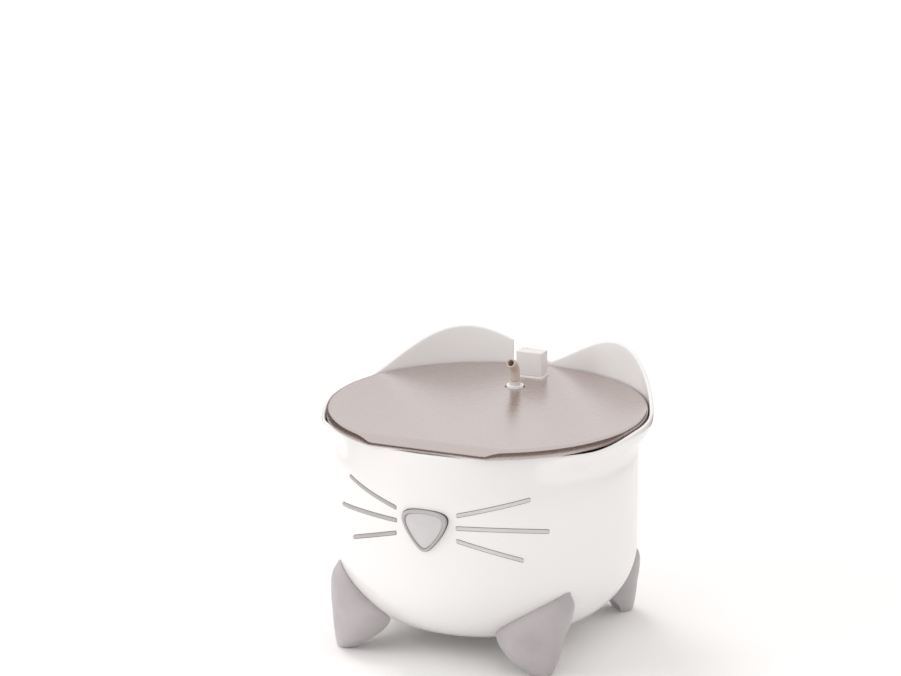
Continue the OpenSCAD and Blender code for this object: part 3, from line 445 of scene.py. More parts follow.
# %% Finishes inside the pump and the filter
impeller_white = finish("impeller_white", (232, 231, 226), (222, 221, 216), 0.35)
ferrite = finish("ferrite", (58, 57, 60), (44, 43, 46), 0.55, grain_size=1800, bump=0.4)
ground_steel = finish("ground_steel", (208, 208, 210), (188, 188, 192), 0.22, bump=0.06, Metallic=1.0)
ceramic = finish("ceramic", (238, 232, 216), (228, 222, 206), 0.3)
stacked_iron = finish("stacked_iron", (132, 132, 136), (104, 104, 110), 0.45, bump=0.2, Metallic=1.0)
copper_wire = finish("copper_wire", (206, 122, 66), (168, 88, 40), 0.3, grain_size=1500, bump=0.6,
                     Metallic=1.0)
shell_steel = finish("shell_steel", (214, 213, 212), (196, 195, 195), 0.24, bump=0.05, Metallic=1.0)
carbon_black = finish("carbon_black", (48, 46, 46), (24, 23, 23), 0.7, cloud=900, grain_size=700, bump=1.0)
resin_amber = finish("resin_amber", (226, 160, 104), (176, 104, 58), 0.3, cloud=900, grain_size=700,
                     bump=1.0)
print(len(bpy.data.materials), "materials now")

# %% [markdown]
# The stamped top is brushed along one direction and then rolled at the rim, so its flat face is calm and
# its rim mirrors the room. The scratches give the height, the roughness and a trace of tint.

# %% Brushed steel
BRUSH_MM, BRUSHED_ROUGHNESS = 0.4, 0.27
brushed_steel, steel_tree, steel_shader = new_material("brushed_steel")
steel_lines = add(steel_tree, "Group", [("Line Width", BRUSH_MM), ("Roughness", BRUSHED_ROUGHNESS),
                                        ("Contrast", 0.16)], node_tree=brush)
steel_tint = add(steel_tree, "Mix", [(0, steel_lines.outputs["Mask"]), (6, srgb(197, 185, 182)),
                                     (7, srgb(208, 196, 193))], data_type="RGBA")
steel_relief = add(steel_tree, "Bump",
                   [("Height", steel_lines.outputs["Height"]), ("Strength", 0.07), ("Distance", GRAIN_DEPTH)])
fill(steel_tree, steel_shader,
     [("Base Color", steel_tint.outputs[2]), ("Roughness", steel_lines.outputs["Roughness"]),
      ("Normal", steel_relief.outputs["Normal"]), ("Metallic", 1.0)])
print("brushed steel with lines", BRUSH_MM, "mm wide")

# %% [markdown]
# ## The cord
# The cord is one length of soft 4 mm cable. Inside the pot it runs from the pump round the wall, up the
# front of the rear pocket and out through the grommet. Outside it hangs to the table, is wound into a
# neat coil for storage, and ends in a plug. A cord can be a curve with a round bevel. A swept tube is
# chosen here instead, because its rings can follow exactly the smooth line that the solids follow.

# %% A smooth line through listed points
CORD_MM = 4.0
INNER_ROUTE = [(-5.95, 6.09, 48.5), (-8.41, 2.94, 48.5), (-13.3, -3.3, 47.3), (-23.5, -14.5, 41.5), (-36, -24, 33.5),
               (-47, -30, 27), (-56.5, -29.7, 23.5), (-62.5, -21.5, 22.5), (-65, -8, 22.4), (-63, 8, 22.4),
               (-58, 24, 22.4), (-50.5, 41, 22.7), (-43.5, 54, 25.5), (-38, 63, 33.5), (-34.5, 68, 46),
               (-32.6, 69.4, 64), (-32, 69.4, 84), (-31.2, 69.3, 110), (-30.5, 69.3, 123), (-30.1, 69.3, 130.3),
               (-29.6, 70.1, 134.7), (-28.6, 72.4, 138.1), (-27.2, 75.8, 140.4), (-25.5, 79.8, 141.2),
               (-22.9, 87, 141.3), (-22, 93.6, 141.2)]
OUTER_ROUTE = [(-22, 94, 141.2), (-22, 103, 141.2), (-22, 111, 141.2), (-22, 117, 139.6), (-22, 121.4, 135.2),
               (-22, 123, 129.2), (-22, 123, 100), (-21.6, 123, 70), (-21, 123, 40), (-20.4, 123, 16.1),
               (-20, 124.9, 9.1), (-20, 130, 4), (-20, 137, 2.1), (-20, 147, 2.1)]
LEAD_ROUTE = [(-76.9, 149.5, 9.7), (-79.5, 145.9, 8.6), (-83, 143.8, 7.1), (-86.5, 141.8, 5.6),
              (-89.1, 138.1, 4.5), (-90, 133.7, 4.1), (-90, 132.25, 4.1)]


def smooth_line(route, per_stretch):
    """Points in millimetres on a Catmull-Rom line through the route's own points."""
    line = []
    last = len(route) - 1
    for i in range(last):
        a, b, c, d = (Vector(route[k]) for k in (max(0, i - 1), i, i + 1, min(last, i + 2)))
        for step in range(per_stretch):
            t = step / per_stretch
            line.append(b + t / 2 * (c - a + t * (2 * a - 5 * b + 4 * c - d + t * (3 * (b - c) + d - a))))
    line.append(Vector(route[-1]))
    return line


def length_of(line):
    """The length of a line of points."""
    return sum((b - a).length for a, b in zip(line, line[1:]))


inner_line = smooth_line(INNER_ROUTE, 6)
print(f"inner run {length_of(inner_line):.0f} mm")

# %% [markdown]
# The coil is wound as a hand winds it: three turns inwards on the table, three outwards on top of them,
# and one and a half more on the outside. Each turn lies a cord's width from the next. The last stretch of a
# turn shifts sideways or climbs, and the rest of it is a plain circle.

# %% The coil's turns
COIL_AT = (-48, 154)
COIL_LOW = 2.1
TURN_POINTS = 40
SHIFT_SHARE = 0.22
TURNS = [(28, 0), (24, 0), (20, 0), (20, 1), (24, 1), (28, 1), (28, 2), (28, 2)]
TURNS_WOUND = 7.5


def coil_line():
    """Points in millimetres along the coil, from its lowest outer turn on the right to its top left."""
    line = []
    for step in range(int(TURNS_WOUND * TURN_POINTS) + 1):
        turn, part = divmod(step / TURN_POINTS, 1)
        here, after = TURNS[int(turn)], TURNS[min(int(turn) + 1, len(TURNS) - 1)]
        shift = smooth_step((part - 1 + SHIFT_SHARE) / SHIFT_SHARE)
        radius = here[0] + (after[0] - here[0]) * shift
        layer = here[1] + (after[1] - here[1]) * shift
        angle = 2 * math.pi * part
        line.append(Vector((COIL_AT[0] + radius * math.cos(angle), COIL_AT[1] + radius * math.sin(angle),
                            COIL_LOW + CORD_MM * layer)))
    return line


coil = coil_line()
outer_line = smooth_line(OUTER_ROUTE, 6) + coil + smooth_line([tuple(coil[-1])] + LEAD_ROUTE, 5)[1:]
print(f"coil {length_of(coil):.0f} mm, whole outer run {length_of(outer_line):.0f} mm")

# %% [markdown]
# A tube along a line needs a frame that turns with the line but never twists. Carrying the last ring's
# sideways direction on to the next ring, and only straightening it there, does that.

# %% Sweep a round tube along a line
CORD_SIDES = 14


def sweep(name, line):
    """The cord's round tube about a line given in millimetres, and the line in the frame's metres."""
    side = Vector((0.1, 0.2, 1))
    rings = []
    for i, point in enumerate(line):
        along = (line[min(i + 1, len(line) - 1)] - line[max(i - 1, 0)]).normalized()
        side = (side - along * side.dot(along)).normalized()
        across = along.cross(side)
        rings.append([place(*(point + CORD_MM / 2 * (math.cos(a) * side + math.sin(a) * across)))
                      for a in (2 * math.pi * k / CORD_SIDES for k in range(CORD_SIDES))])
    return loft(name, rings, crisp=50), [place(*point) for point in line]


inner_cord, inner_path = sweep("cord_inside", inner_line)
outer_cord, outer_path = sweep("cord_outside", outer_line)
print(len(inner_cord.data.polygons), "and", len(outer_cord.data.polygons), "faces")

# %% [markdown]
# The plug is an overmoulded body with grip ribs and a stamped metal shell. The body swells from the cord's
# strain relief to its full section, so it is a loft of rounded rectangles.

# %% Plug body with its strain relief
PLUG_AT = (-90, 132, 4.1)
PLUG_LENGTH, PLUG_HALF_W, PLUG_HALF_H, PLUG_CORNER = 34, 7.85, 3.95, 2.6
PLUG_NECK, PLUG_SWELL, NECK_HALF = 12, 6, 2.5
RIDGE, RIDGE_PITCH, GRIP, GRIP_PITCH, GRIP_FROM, GRIP_TO = 0.3, 1.5, 0.35, 1.25, 17, 27
PLUG_END_ROUND, PLUG_STEPS, PER_CORNER = 0.8, 136, 6


def rounded_rectangle(half_w, half_h, corner):
    """Points round a rectangle with round corners, about (0, 0)."""
    corner = min(corner, half_w, half_h)
    points = []
    for k, (sx, sy) in enumerate(((1, 1), (-1, 1), (-1, -1), (1, -1))):
        for step in range(PER_CORNER + 1):
            a = math.pi / 2 * (k + step / PER_CORNER)
            points.append((sx * (half_w - corner) + corner * math.cos(a),
                           sy * (half_h - corner) + corner * math.sin(a)))
    return points


def plug_section(along):
    """Half width, half height and corner of the plug at that distance from its cord end."""
    if along < PLUG_NECK:
        swell = smooth_step((along - PLUG_SWELL) / PLUG_SWELL)
        ridge = RIDGE * (int(along / RIDGE_PITCH) % 2 == 0) * (1 - swell)
        half_w = NECK_HALF + ridge + along * 0.05 + (PLUG_HALF_W - 3.4) * swell
        half_h = NECK_HALF + ridge + along * 0.03 + (PLUG_HALF_H - 3.1) * swell
        return half_w, min(half_h, PLUG_HALF_H), half_h * (1 - swell) + PLUG_CORNER * swell
    grip = GRIP if GRIP_FROM < along < GRIP_TO and int(along / GRIP_PITCH) % 2 else 0.0
    end = PLUG_END_ROUND * (1 - math.sqrt(max(0.0, 1 - max(0.0, along - PLUG_LENGTH + 1) ** 2)))
    return PLUG_HALF_W - grip - end, PLUG_HALF_H - grip * 0.6 - end, PLUG_CORNER


plug_rings = []
for step in range(PLUG_STEPS + 1):
    along = PLUG_LENGTH * step / PLUG_STEPS
    half_w, half_h, corner = plug_section(along)
    plug_rings.append([place(PLUG_AT[0] + x, PLUG_AT[1] - along, PLUG_AT[2] + z)
                       for x, z in rounded_rectangle(half_w, half_h, corner)])
plug_body = dress(loft("plug_body", plug_rings, crisp=40), "pot", cord_grey, ["usb_plug_body"])
plug_shell = reskin("usb_plug_shell", 0.18, "pot", shell_steel, "plug_shell", 2, "plug_shell")
coil_strap = reskin("coil_tie", 0.5, "pot", tie_black, "tie_black", name="coil_strap")

# %% [markdown]
# The inner run goes up with the pump when the fountain is taken apart, while its far end stays in the
# grommet. Here it gets its material and takes the place of the frame's run, on no body of its own.

dress(outer_cord, "pot", cord_grey, ["cord_outer", "cord_coil", "plug_lead"])
inner_cord.data.materials.append(cord_grey)
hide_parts("cord_inner")
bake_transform(inner_cord)

# %% [markdown]
# ## The pot
# The pot is moulded in one piece. Its rounded bottom rises into a straight wall, and the rim is low in
# front, where the cat drinks, a little higher at the sides, and rises into two ears behind. Just behind the
# drinking lip the wall steps out a little and holds the deck. The whole skin is one loft: up the outside,
# over a round lip and down the inside. The numbers below are the mould's, in millimetres and degrees.

# %% The pot's driving sizes
POT_R, WALL_T, FLOOR_T = 101, 2.6, 3
BASE_Z, BASE_R, BELLY_Z = 13, 50, 64
FRONT_Z, SIDE_Z, REAR_Z = 149, 153, 152
EAR_RISE, EAR_ANGLE, EAR_HALF = 29, 148, 46
FLARE, FLARE_FROM, FLARE_TO, FLARE_Z, FLARE_H = 9.5, 38, 62, 130, 20


def ear_bump(t):
    """A smooth hump from -1 to 1 that is 1 in the middle."""
    return 0.5 + 0.5 * math.cos(math.pi * t) if abs(t) < 1 else 0.0


def rim_height(angle):
    """Height of the rim at that angle from the front."""
    a = abs(angle)
    return (FRONT_Z + (SIDE_Z - FRONT_Z) * smooth_step((a - FLARE_TO) / 25)
            + (REAR_Z - SIDE_Z) * smooth_step((a - EAR_ANGLE) / (180 - EAR_ANGLE))
            + EAR_RISE * ear_bump((a - EAR_ANGLE) / EAR_HALF))


def wall_radius(angle, z):
    """Outer radius of the upright wall, with its step outwards behind the drinking lip."""
    return POT_R + (FLARE * smooth_step((abs(angle) - FLARE_FROM) / (FLARE_TO - FLARE_FROM))
                    * smooth_step((z - FLARE_Z) / FLARE_H))


def belly_radius(z):
    """Outer radius of the rounded bottom."""
    if z >= BELLY_Z:
        return POT_R
    return BASE_R + (POT_R - BASE_R) * math.sqrt(1 - min(1, (BELLY_Z - z) / (BELLY_Z - BASE_Z)) ** 2)


print(f"front lip {rim_height(0):.1f}, side {rim_height(90):.1f}, ear tip {rim_height(EAR_ANGLE):.1f} mm")

# %% [markdown]
# The rings follow the rim's own height, so the faces stay square all the way up an ear. The lip is a half
# circle as wide as the wall is thick.

# %% Rings of the pot's skin
POT_SIDES, BELLY_STEPS, WALL_STEPS, LIP_STEPS = 288, 26, 30, 8
RIM_ANGLES = [-180 + 360 * i / POT_SIDES for i in range(POT_SIDES)]


def pot_ring(radius_of, height_of):
    """A ring round the pot's axis, with radius and height as functions of the angle."""
    return [at_angle(a, radius_of(a), height_of(a)) for a in RIM_ANGLES]


def shell_rings(inset, floor_z):
    """Rings of one side of the wall from its floor to just under the lip."""
    rings = []
    for j in range(BELLY_STEPS + 1):
        q = math.pi / 2 * j / BELLY_STEPS
        radius = BASE_R + (POT_R - inset - BASE_R) * math.sin(q)
        height = BELLY_Z - (BELLY_Z - floor_z) * math.cos(q)
        rings.append(pot_ring(lambda a: radius, lambda a: height))
    for j in range(1, WALL_STEPS + 1):
        def height_at(a):
            return BELLY_Z + (rim_height(a) - WALL_T / 2 - BELLY_Z) * j / WALL_STEPS
        rings.append(pot_ring(lambda a: wall_radius(a, height_at(a)) - inset, height_at))
    return rings


def lip_ring(turn):
    """One ring over the lip, from the outside at turn 0 to the inside at half a turn."""
    half = WALL_T / 2

    def radius_of(a):
        return wall_radius(a, rim_height(a) - half) - half + half * math.cos(turn)

    return pot_ring(radius_of, lambda a: rim_height(a) - half + half * math.sin(turn))


outside = shell_rings(0, BASE_Z)
inside = shell_rings(WALL_T, BASE_Z + FLOOR_T)
lip = [lip_ring(math.pi * j / LIP_STEPS) for j in range(1, LIP_STEPS)]
INNERMOST, HOLLOW_R, HOLLOW_UP = 20, 44, 0.9
UNDERSIDE = [(INNERMOST, BASE_Z + HOLLOW_UP), (HOLLOW_R, BASE_Z + HOLLOW_UP), (HOLLOW_R + 0.8, BASE_Z)]
foot_ring = [pot_ring(lambda a: r, lambda a: z) for r, z in UNDERSIDE]
floor_ring = [pot_ring(lambda a: INNERMOST, lambda a: BASE_Z + FLOOR_T)]
pot = loft("pot", foot_ring + outside + lip + inside[::-1] + floor_ring, crisp=40)
print("pot:", len(pot.data.polygons), "faces")

# %% [markdown]
# The pot's wall is also cut and built on: a pocket runs up its back for the cord, a notch leads the cord out
# under the deck, four small ledges carry the deck, and a pad on the floor carries the pump. The additions are
# one mesh, trimmed to the inside of the wall and then joined to it. What is cut away is one mesh as well, so
# three Booleans do it all.

# %% Pocket, notch, ledges and pump pad
POCKET_HALF, POCKET_Y, POCKET_LOW, POCKET_TOP = 42, 73, 14, 135
NOTCH_X, NOTCH_W, NOTCH_Z = -22, 9, 136.5
LEDGE_ANGLES, LEDGE_HALF = (100, 150, -100, -150), 6
LEDGE_SHAPE = [(108.4, 142), (106.4, 142), (103.4, 147), (103.4, 149), (108.4, 149)]
POCKET_ROUND, NOTCH_Y, NOTCH_ABOVE, NOTCH_STEPS = 5, (94, 116), 185, 16
PAD_HALF_W, PAD_HALF_D, PAD_CORNER, PAD_TOP, PUMP_TURN = 26, 17, 4, 18.5, 52
SUNK, ROOF_Z, REACH_Y = 0.6, 170, 123  # how far additions sink into the wall, and how far the tools reach
pump_low, pump_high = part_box("pump_base")
PUMP_X = (pump_low.x + pump_high.x) / 2 / MM
PUMP_Y = (pump_low.y + pump_high.y) / 2 / MM - AXIS_Y


def turned(angle, x, y, z, about=(0, 0)):
    """A point in millimetres, turned by that angle in degrees about an upright line."""
    a = math.radians(angle)
    return place(about[0] + x * math.cos(a) - y * math.sin(a), about[1] + x * math.sin(a) + y * math.cos(a), z)


def joined(name, parts):
    """One object with the meshes of several, which are deleted."""
    work = bmesh.new()
    for part in parts:
        work.from_mesh(part.data)
        bpy.data.objects.remove(part)
    return finished(work, new_object(name))


ledges = [loft("ledge", [[turned(a, side, -r, z) for r, z in LEDGE_SHAPE] for side in (-LEDGE_HALF, LEDGE_HALF)])
          for a in LEDGE_ANGLES]
pad_outline = rounded_rectangle(PAD_HALF_W, PAD_HALF_D, PAD_CORNER)
pump_pad = loft("pad", [[turned(PUMP_TURN, x, y, z, (PUMP_X, PUMP_Y)) for x, y in pad_outline]
                        for z in (POCKET_LOW, PAD_TOP)])
pocket_wall = block("pocket_wall", (-POCKET_HALF, POCKET_Y, POCKET_LOW), (POCKET_HALF, REACH_Y, POCKET_TOP),
                    POCKET_ROUND, only_upright=True)
additions = joined("additions", ledges + [pump_pad, pocket_wall])
roof = [pot_ring(lambda a: INNERMOST, lambda a: ROOF_Z)]
within = loft("within", shell_rings(SUNK, BASE_Z + SUNK) + roof)
combine(additions, within, "INTERSECT")
combine(pot, additions, "UNION")

notch_outline = [(NOTCH_W / 2 * math.cos(a), NOTCH_Z + NOTCH_W / 2 + NOTCH_W / 2 * math.sin(a))
                 for a in (math.pi * (1 + k / NOTCH_STEPS) for k in range(NOTCH_STEPS + 1))]
notch_outline += [(NOTCH_W / 2, NOTCH_ABOVE), (-NOTCH_W / 2, NOTCH_ABOVE)]
notch = loft("notch", [[place(NOTCH_X + x, y, z) for x, z in notch_outline] for y in NOTCH_Y])
pocket = block("pocket", (-POCKET_HALF + WALL_T, POCKET_Y + WALL_T, POCKET_LOW - 4),
               (POCKET_HALF - WALL_T, REACH_Y + 2, POCKET_TOP - WALL_T), POCKET_ROUND - 1, only_upright=True)
combine(pot, joined("cuts", [notch, pocket]), "DIFFERENCE")
smooth_by_angle(pot.data, 40)
dress(pot, "pot", pot_white, ["reservoir"])
print("pot with its pocket:", len(pot.data.polygons), "faces")

# %% [markdown]
# ## Feet and face
# Each foot is a soft three-cornered pad that grips the belly. Seen from outside it is narrow at the table,
# leans away from the front and ends in a round tip. The pad is a loft too: every ring lies at one height,
# bulges outwards and comes back along the belly.

# %% The four feet
FOOT_H, FOOT_ANGLE, FOOT_R, FOOT_BULGE = 53, 44.5, 107, 2.5
FOOT_SIDE_Z, FOOT_SOLE, FOOT_GAP, FOOT_SKIN = 24, 11, 0.15, 0.3
FOOT_BULGE_Z, FOOT_LEAN_Z, FOOT_TIP_Z, FOOT_TIP_LEAN = 44, 42, 45.5, 4.6
SOLE_ROUND, SOLE_ROUND_Z = 1.6, 2.4
SOLE_HALF, NEAR_WIDER, NEAR_LEAN, FAR_WIDER, FAR_WIDE_Z = 4, 13, 27, 10, 34  # all but the last in degrees
FOOT_SLICES, FOOT_COLUMNS = 44, 32


def foot_edges(z):
    """Angles at which a foot begins and ends at that height."""
    if z < FOOT_SIDE_Z:
        near = FOOT_ANGLE - SOLE_HALF - NEAR_WIDER * math.sin(math.pi / 2 * z / FOOT_SIDE_Z)
    else:
        near = FOOT_ANGLE - SOLE_HALF - NEAR_WIDER + NEAR_LEAN * ((z - FOOT_SIDE_Z) / (FOOT_H - FOOT_SIDE_Z)) ** 1.5
    far = FOOT_ANGLE + SOLE_HALF + FAR_WIDER * math.sin(math.pi / 2 * min(1, z / FAR_WIDE_Z))
    return near, far - 2 * smooth_step((z - FOOT_BULGE_Z) / (FOOT_H - FOOT_BULGE_Z))


def foot_depth(z):
    """Radii of a foot's back, which lies on the belly, and of its front."""
    back = belly_radius(z) + FOOT_GAP
    if z < FOOT_SIDE_Z:
        sole = FOOT_R - FOOT_SOLE
        back = sole + (belly_radius(FOOT_SIDE_Z) + FOOT_GAP - sole) * smooth_step(z / FOOT_SIDE_Z)
    lean = FOOT_TIP_LEAN * (max(0, z - FOOT_LEAN_Z) / (FOOT_H - FOOT_LEAN_Z)) ** 1.4
    front = FOOT_R + FOOT_BULGE * math.sin(math.pi * min(1, z / FOOT_BULGE_Z)) - lean
    table_edge = SOLE_ROUND * (1 - math.sqrt(1 - max(0.0, 1 - z / SOLE_ROUND_Z) ** 2))
    return back, front - table_edge


def foot_ring_at(z, mirror_x, mirror_y):
    """One ring of a foot, mirrored to its corner of the pot."""
    near, far = foot_edges(z)
    back, front = foot_depth(z)
    tip = math.sqrt(1 - max(0.0, (z - FOOT_TIP_Z) / (FOOT_H - FOOT_TIP_Z + 0.2)) ** 2)
    across = [-math.cos(math.pi * i / FOOT_COLUMNS) for i in range(FOOT_COLUMNS + 1)]
    outer = [(u, back + FOOT_SKIN + (front - back - FOOT_SKIN) * tip * (1 - abs(u) ** 2.6) ** 0.5) for u in across]
    inner = [(u, back) for u in reversed(across)]
    points = []
    for u, radius in outer + inner:
        turn = math.radians(near + (far - near) * (u + 1) / 2)
        points.append(place(mirror_x * radius * math.sin(turn), -mirror_y * radius * math.cos(turn), z))
    return points


FOOT_HEIGHTS = [FOOT_H * (1 - math.cos(math.pi * j / FOOT_SLICES)) / 2 for j in range(FOOT_SLICES + 1)]
for end_name, mirror_y in (("front", 1), ("rear", -1)):
    for side_name, mirror_x in (("left", -1), ("right", 1)):
        foot_rings = [foot_ring_at(z, mirror_x, mirror_y) for z in FOOT_HEIGHTS]
        foot = loft(f"soft_foot_{end_name}_{side_name}", foot_rings, crisp=60)
        dress(foot, "pot", foot_grey, [f"foot_{end_name}_{side_name}"])
print("four feet of", len(foot.data.polygons), "faces each")

# %% [markdown]
# The nose is a button: a darker border and a lighter face that is a little domed. Its outline is one closed
# formula. A circle gives the round, a second and faster turn sharpens it to a tip below, and a pinch slims
# that tip. Rings set in from the outline then make both pieces.

# %% The nose
NOSE_Z, NOSE_W, NOSE_H, NOSE_BORDER = 98, 31.5, 28, 2
NOSE_POINT, NOSE_PINCH = 2.2, 0.15
NOSE_POINTS, EDGE_STEPS = 144, 5


def nose_side(t):
    """How far to the side the nose's outline lies at that turn, before it is scaled."""
    return NOSE_H / 2 * math.sin(t) - NOSE_POINT * math.sin(2 * t)


NOSE_WIDEST = max(nose_side(math.radians(degrees)) for degrees in range(90, 131, 2))


def nose_outline(inset):
    """The nose's outline, set in by that much."""
    share = 1 - inset / (NOSE_H / 2)
    outline = []
    for step in range(NOSE_POINTS):
        t = 2 * math.pi * step / NOSE_POINTS
        y = NOSE_POINT - NOSE_H / 2 * math.cos(t) - NOSE_POINT * math.cos(2 * t)
        slim = 1 - NOSE_PINCH * max(0, -y / (NOSE_H / 2)) ** 2
        outline.append((share * NOSE_W / 2 * nose_side(t) / NOSE_WIDEST * slim, share * y))
    return outline


def nose_ring(inset, depth, share=1.0):
    """A ring of the nose at that depth in front of the wall; depth 0 lies on the round wall itself."""
    ring = []
    for x, y in nose_outline(inset):
        x, y = x * share, y * share
        flat = POT_R + 0.1 + depth
        reach = math.sqrt((POT_R + 0.15) ** 2 - x ** 2) if depth == 0 else flat
        ring.append(place(x, -reach, NOSE_Z + y))
    return ring


def edge_turn(radius, inset, depth, outward=True):
    """Insets and depths of a quarter round that ends at that depth."""
    turns = [math.pi / 2 * k / EDGE_STEPS for k in range(EDGE_STEPS + 1)]
    if outward:
        return [(inset + radius * (1 - math.cos(t)), depth - radius + radius * math.sin(t)) for t in turns]
    return [(inset - radius + radius * math.sin(t), depth - radius + radius * math.cos(t)) for t in turns]


BORDER_RISE, FACE_RISE, FACE_DOME, DOME_STEPS = 2.6, 1.7, 0.5, 8
OUTER_ROUND, INNER_ROUND, NOSE_SEAM = 0.9, 0.7, 0.1
border_line = [(0, 0)] + edge_turn(OUTER_ROUND, 0, BORDER_RISE)
border_line += edge_turn(INNER_ROUND, NOSE_BORDER, BORDER_RISE, outward=False) + [(NOSE_BORDER, 0)]
nose_border = loft("nose_border", [nose_ring(i, d) for i, d in border_line], loop=True, crisp=50)
dress(nose_border, "pot", nose_border_grey, ["nose_bezel"])

FACE_INSET = NOSE_BORDER + NOSE_SEAM
face_line = [(FACE_INSET, 0)] + edge_turn(INNER_ROUND, FACE_INSET, FACE_RISE)
face_rings = [nose_ring(i, d) for i, d in face_line]
face_rings += [nose_ring(FACE_INSET + INNER_ROUND, FACE_RISE + FACE_DOME * math.sin(math.pi / 2 * k / DOME_STEPS),
                         1 - k / (DOME_STEPS + 0.4)) for k in range(1, DOME_STEPS + 1)]
nose_face = loft("nose_face", face_rings, crisp=50)
dress(nose_face, "pot", nose_face_grey, ["nose_cap"])
print("nose:", len(nose_border.data.polygons) + len(nose_face.data.polygons), "faces")

# %% [markdown]
# The whiskers are slim inlays with round ends, three on each side, that arch a little. A dark hairline of
# painted shade shows round the nose and round each whisker, where the inlay sits in the wall: it stands for
# the shadow in that gap. It is a wider strip that barely stands out of the wall and stays under the inlay.

# %% Whiskers and painted-shade hairlines
WHISKERS = [((12.2, 110), (39.5, 120.5), 0.3), ((12, 101.5), (47, 97.5), 1.2), ((12.2, 93), (37, 79.5), 0.3)]
WHISKER_W, WHISKER_T = 2.4, 0.7
WHISKER_STEPS, WHISKER_SIDES = 40, 10
# Widths and rises of the painted-shade strips round the whiskers and round the nose.
SEAM_W, SEAM_RISE, NOSE_SEAM_W, NOSE_SEAM_RISE = 0.32, 0.09, 0.35, 0.1


def whisker_strip(start, end, bow, side, wider, height):
    """A strip on the wall from start to end, (angle, height) each, with round ends and a round back."""
    across = math.radians(end[0] - start[0]) * POT_R
    length = math.hypot(across, end[1] - start[1])
    rings = []
    for step in range(WHISKER_STEPS + 1):
        t = 0.5 - 0.5 * math.cos(math.pi * step / WHISKER_STEPS)
        half = WHISKER_W / 2 + wider
        to_end = min(t, 1 - t) * length + wider
        half *= math.sqrt(max(0.0004, 1 - max(0.0, 1 - to_end / half) ** 2))
        angle = start[0] + (end[0] - start[0]) * t
        z = start[1] + (end[1] - start[1]) * t + 4 * bow * t * (1 - t)
        turns = [math.pi * k / WHISKER_SIDES for k in range(WHISKER_SIDES + 1)]
        top = [(math.cos(a), math.sin(a) ** 0.6) for a in turns]
        rings.append([at_angle(side * angle, POT_R + 0.02 + height * rise, z + half * shift)
                      for shift, rise in [(1, 0)] + top[1:-1] + [(-1, 0)]])
    return loft("strip", rings, crisp=60)


strips = [whisker_strip(*w, side, 0, WHISKER_T) for w in WHISKERS for side in (-1, 1)]
whisker_inlays = dress(joined("whisker_inlays", strips), "pot", whisker_grey, ["whiskers"])
whisker_inlays.data.materials.append(whisker_lit)
# Painted light and shade: the left whiskers take the darker copy and the right ones the paler copy.
for face in whisker_inlays.data.polygons:
    face.material_index = int(face.center.x > 0)
# Painted shade: dark strips under each whisker and round the nose stand for the shadow in the gaps.
shade_hairlines = [whisker_strip(*w, side, SEAM_W, SEAM_RISE) for w in WHISKERS for side in (-1, 1)]
nose_seam_shade = [nose_ring(-NOSE_SEAM_W, 0), nose_ring(-NOSE_SEAM_W, NOSE_SEAM_RISE), nose_ring(0, NOSE_SEAM_RISE)]
shade_hairlines.append(loft("strip", nose_seam_shade, crisp=60))
seam_shade_lines = dress(joined("seam_shade_lines", shade_hairlines), "pot", painted_gap_shade)
for piece in (whisker_inlays, seam_shade_lines):
    smooth_by_angle(piece.data, 60)
reskin("cord_grommet", 0.4, "pot", gland_rubber, "gland_rubber")

# %% [markdown]
# ## The cover
# Two plates cover the pot. The lower one is the plastic deck with a turned-up rim, a socket for the spout and
# a small tower with a grey window. The upper one is a stamped steel plate with a rolled rim, a hole for the
# spout and a slot for the tower.

# %% Deck and tower window
reskin("deck", 0.35, "deck", deck_white, "deck_white")
reskin("tower_window", 0.7, "deck", window_grey, "window_grey", 4)

# %% [markdown]
# The steel top is stamped from one sheet. Its outline is a circle with a straight front and soft corners,
# and every point of it keeps its outward normal, because the rings of the loft are drawn in along it.

# %% Outline of the steel top
steel_low, steel_high = (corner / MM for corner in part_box("steel_top"))
STEEL_R, STEEL_FRONT = steel_high.x, AXIS_Y - steel_low.y
STEEL_EDGE, STEEL_FACE = steel_low.z, steel_high.z
STEEL_CORNER = 14
FRONT_STEPS, CORNER_STEPS, ROUND_STEPS = 16, 10, 170


def steel_outline():
    """Points round the steel top, each with its outward normal, in millimetres from the pot's axis."""
    corner_x = math.sqrt((STEEL_R - STEEL_CORNER) ** 2 - (STEEL_FRONT - STEEL_CORNER) ** 2)
    corner_y = STEEL_CORNER - STEEL_FRONT
    corner_end = math.atan2(corner_x, -corner_y)
    right = []
    for k in range(CORNER_STEPS + 1):
        a = corner_end * k / CORNER_STEPS
        right.append((corner_x + STEEL_CORNER * math.sin(a), corner_y - STEEL_CORNER * math.cos(a),
                      math.sin(a), -math.cos(a)))
    front = [(corner_x * (2 * k / FRONT_STEPS - 1), -STEEL_FRONT, 0, -1) for k in range(1, FRONT_STEPS)]
    turns = [corner_end + 2 * (math.pi - corner_end) * k / ROUND_STEPS for k in range(1, ROUND_STEPS)]
    back = [(STEEL_R * math.sin(a), -STEEL_R * math.cos(a), math.sin(a), -math.cos(a)) for a in turns]
    left = [(-x, y, -nx, ny) for x, y, nx, ny in reversed(right)]
    return front + right + back + left


outline = steel_outline()
print(f"steel: {len(outline)} points round, {STEEL_R:.2f} mm in radius, front at {STEEL_FRONT:.2f} mm")

# %% [markdown]
# The rim is rolled down tightly at the back and in a wide, soft slope at the front. Two lines give the drop
# below the flat face at a distance from the round edge and from the straight one. Where both drop, the
# cube root of their cubes joins them without a crease. The underside takes the deeper of its own two lines.

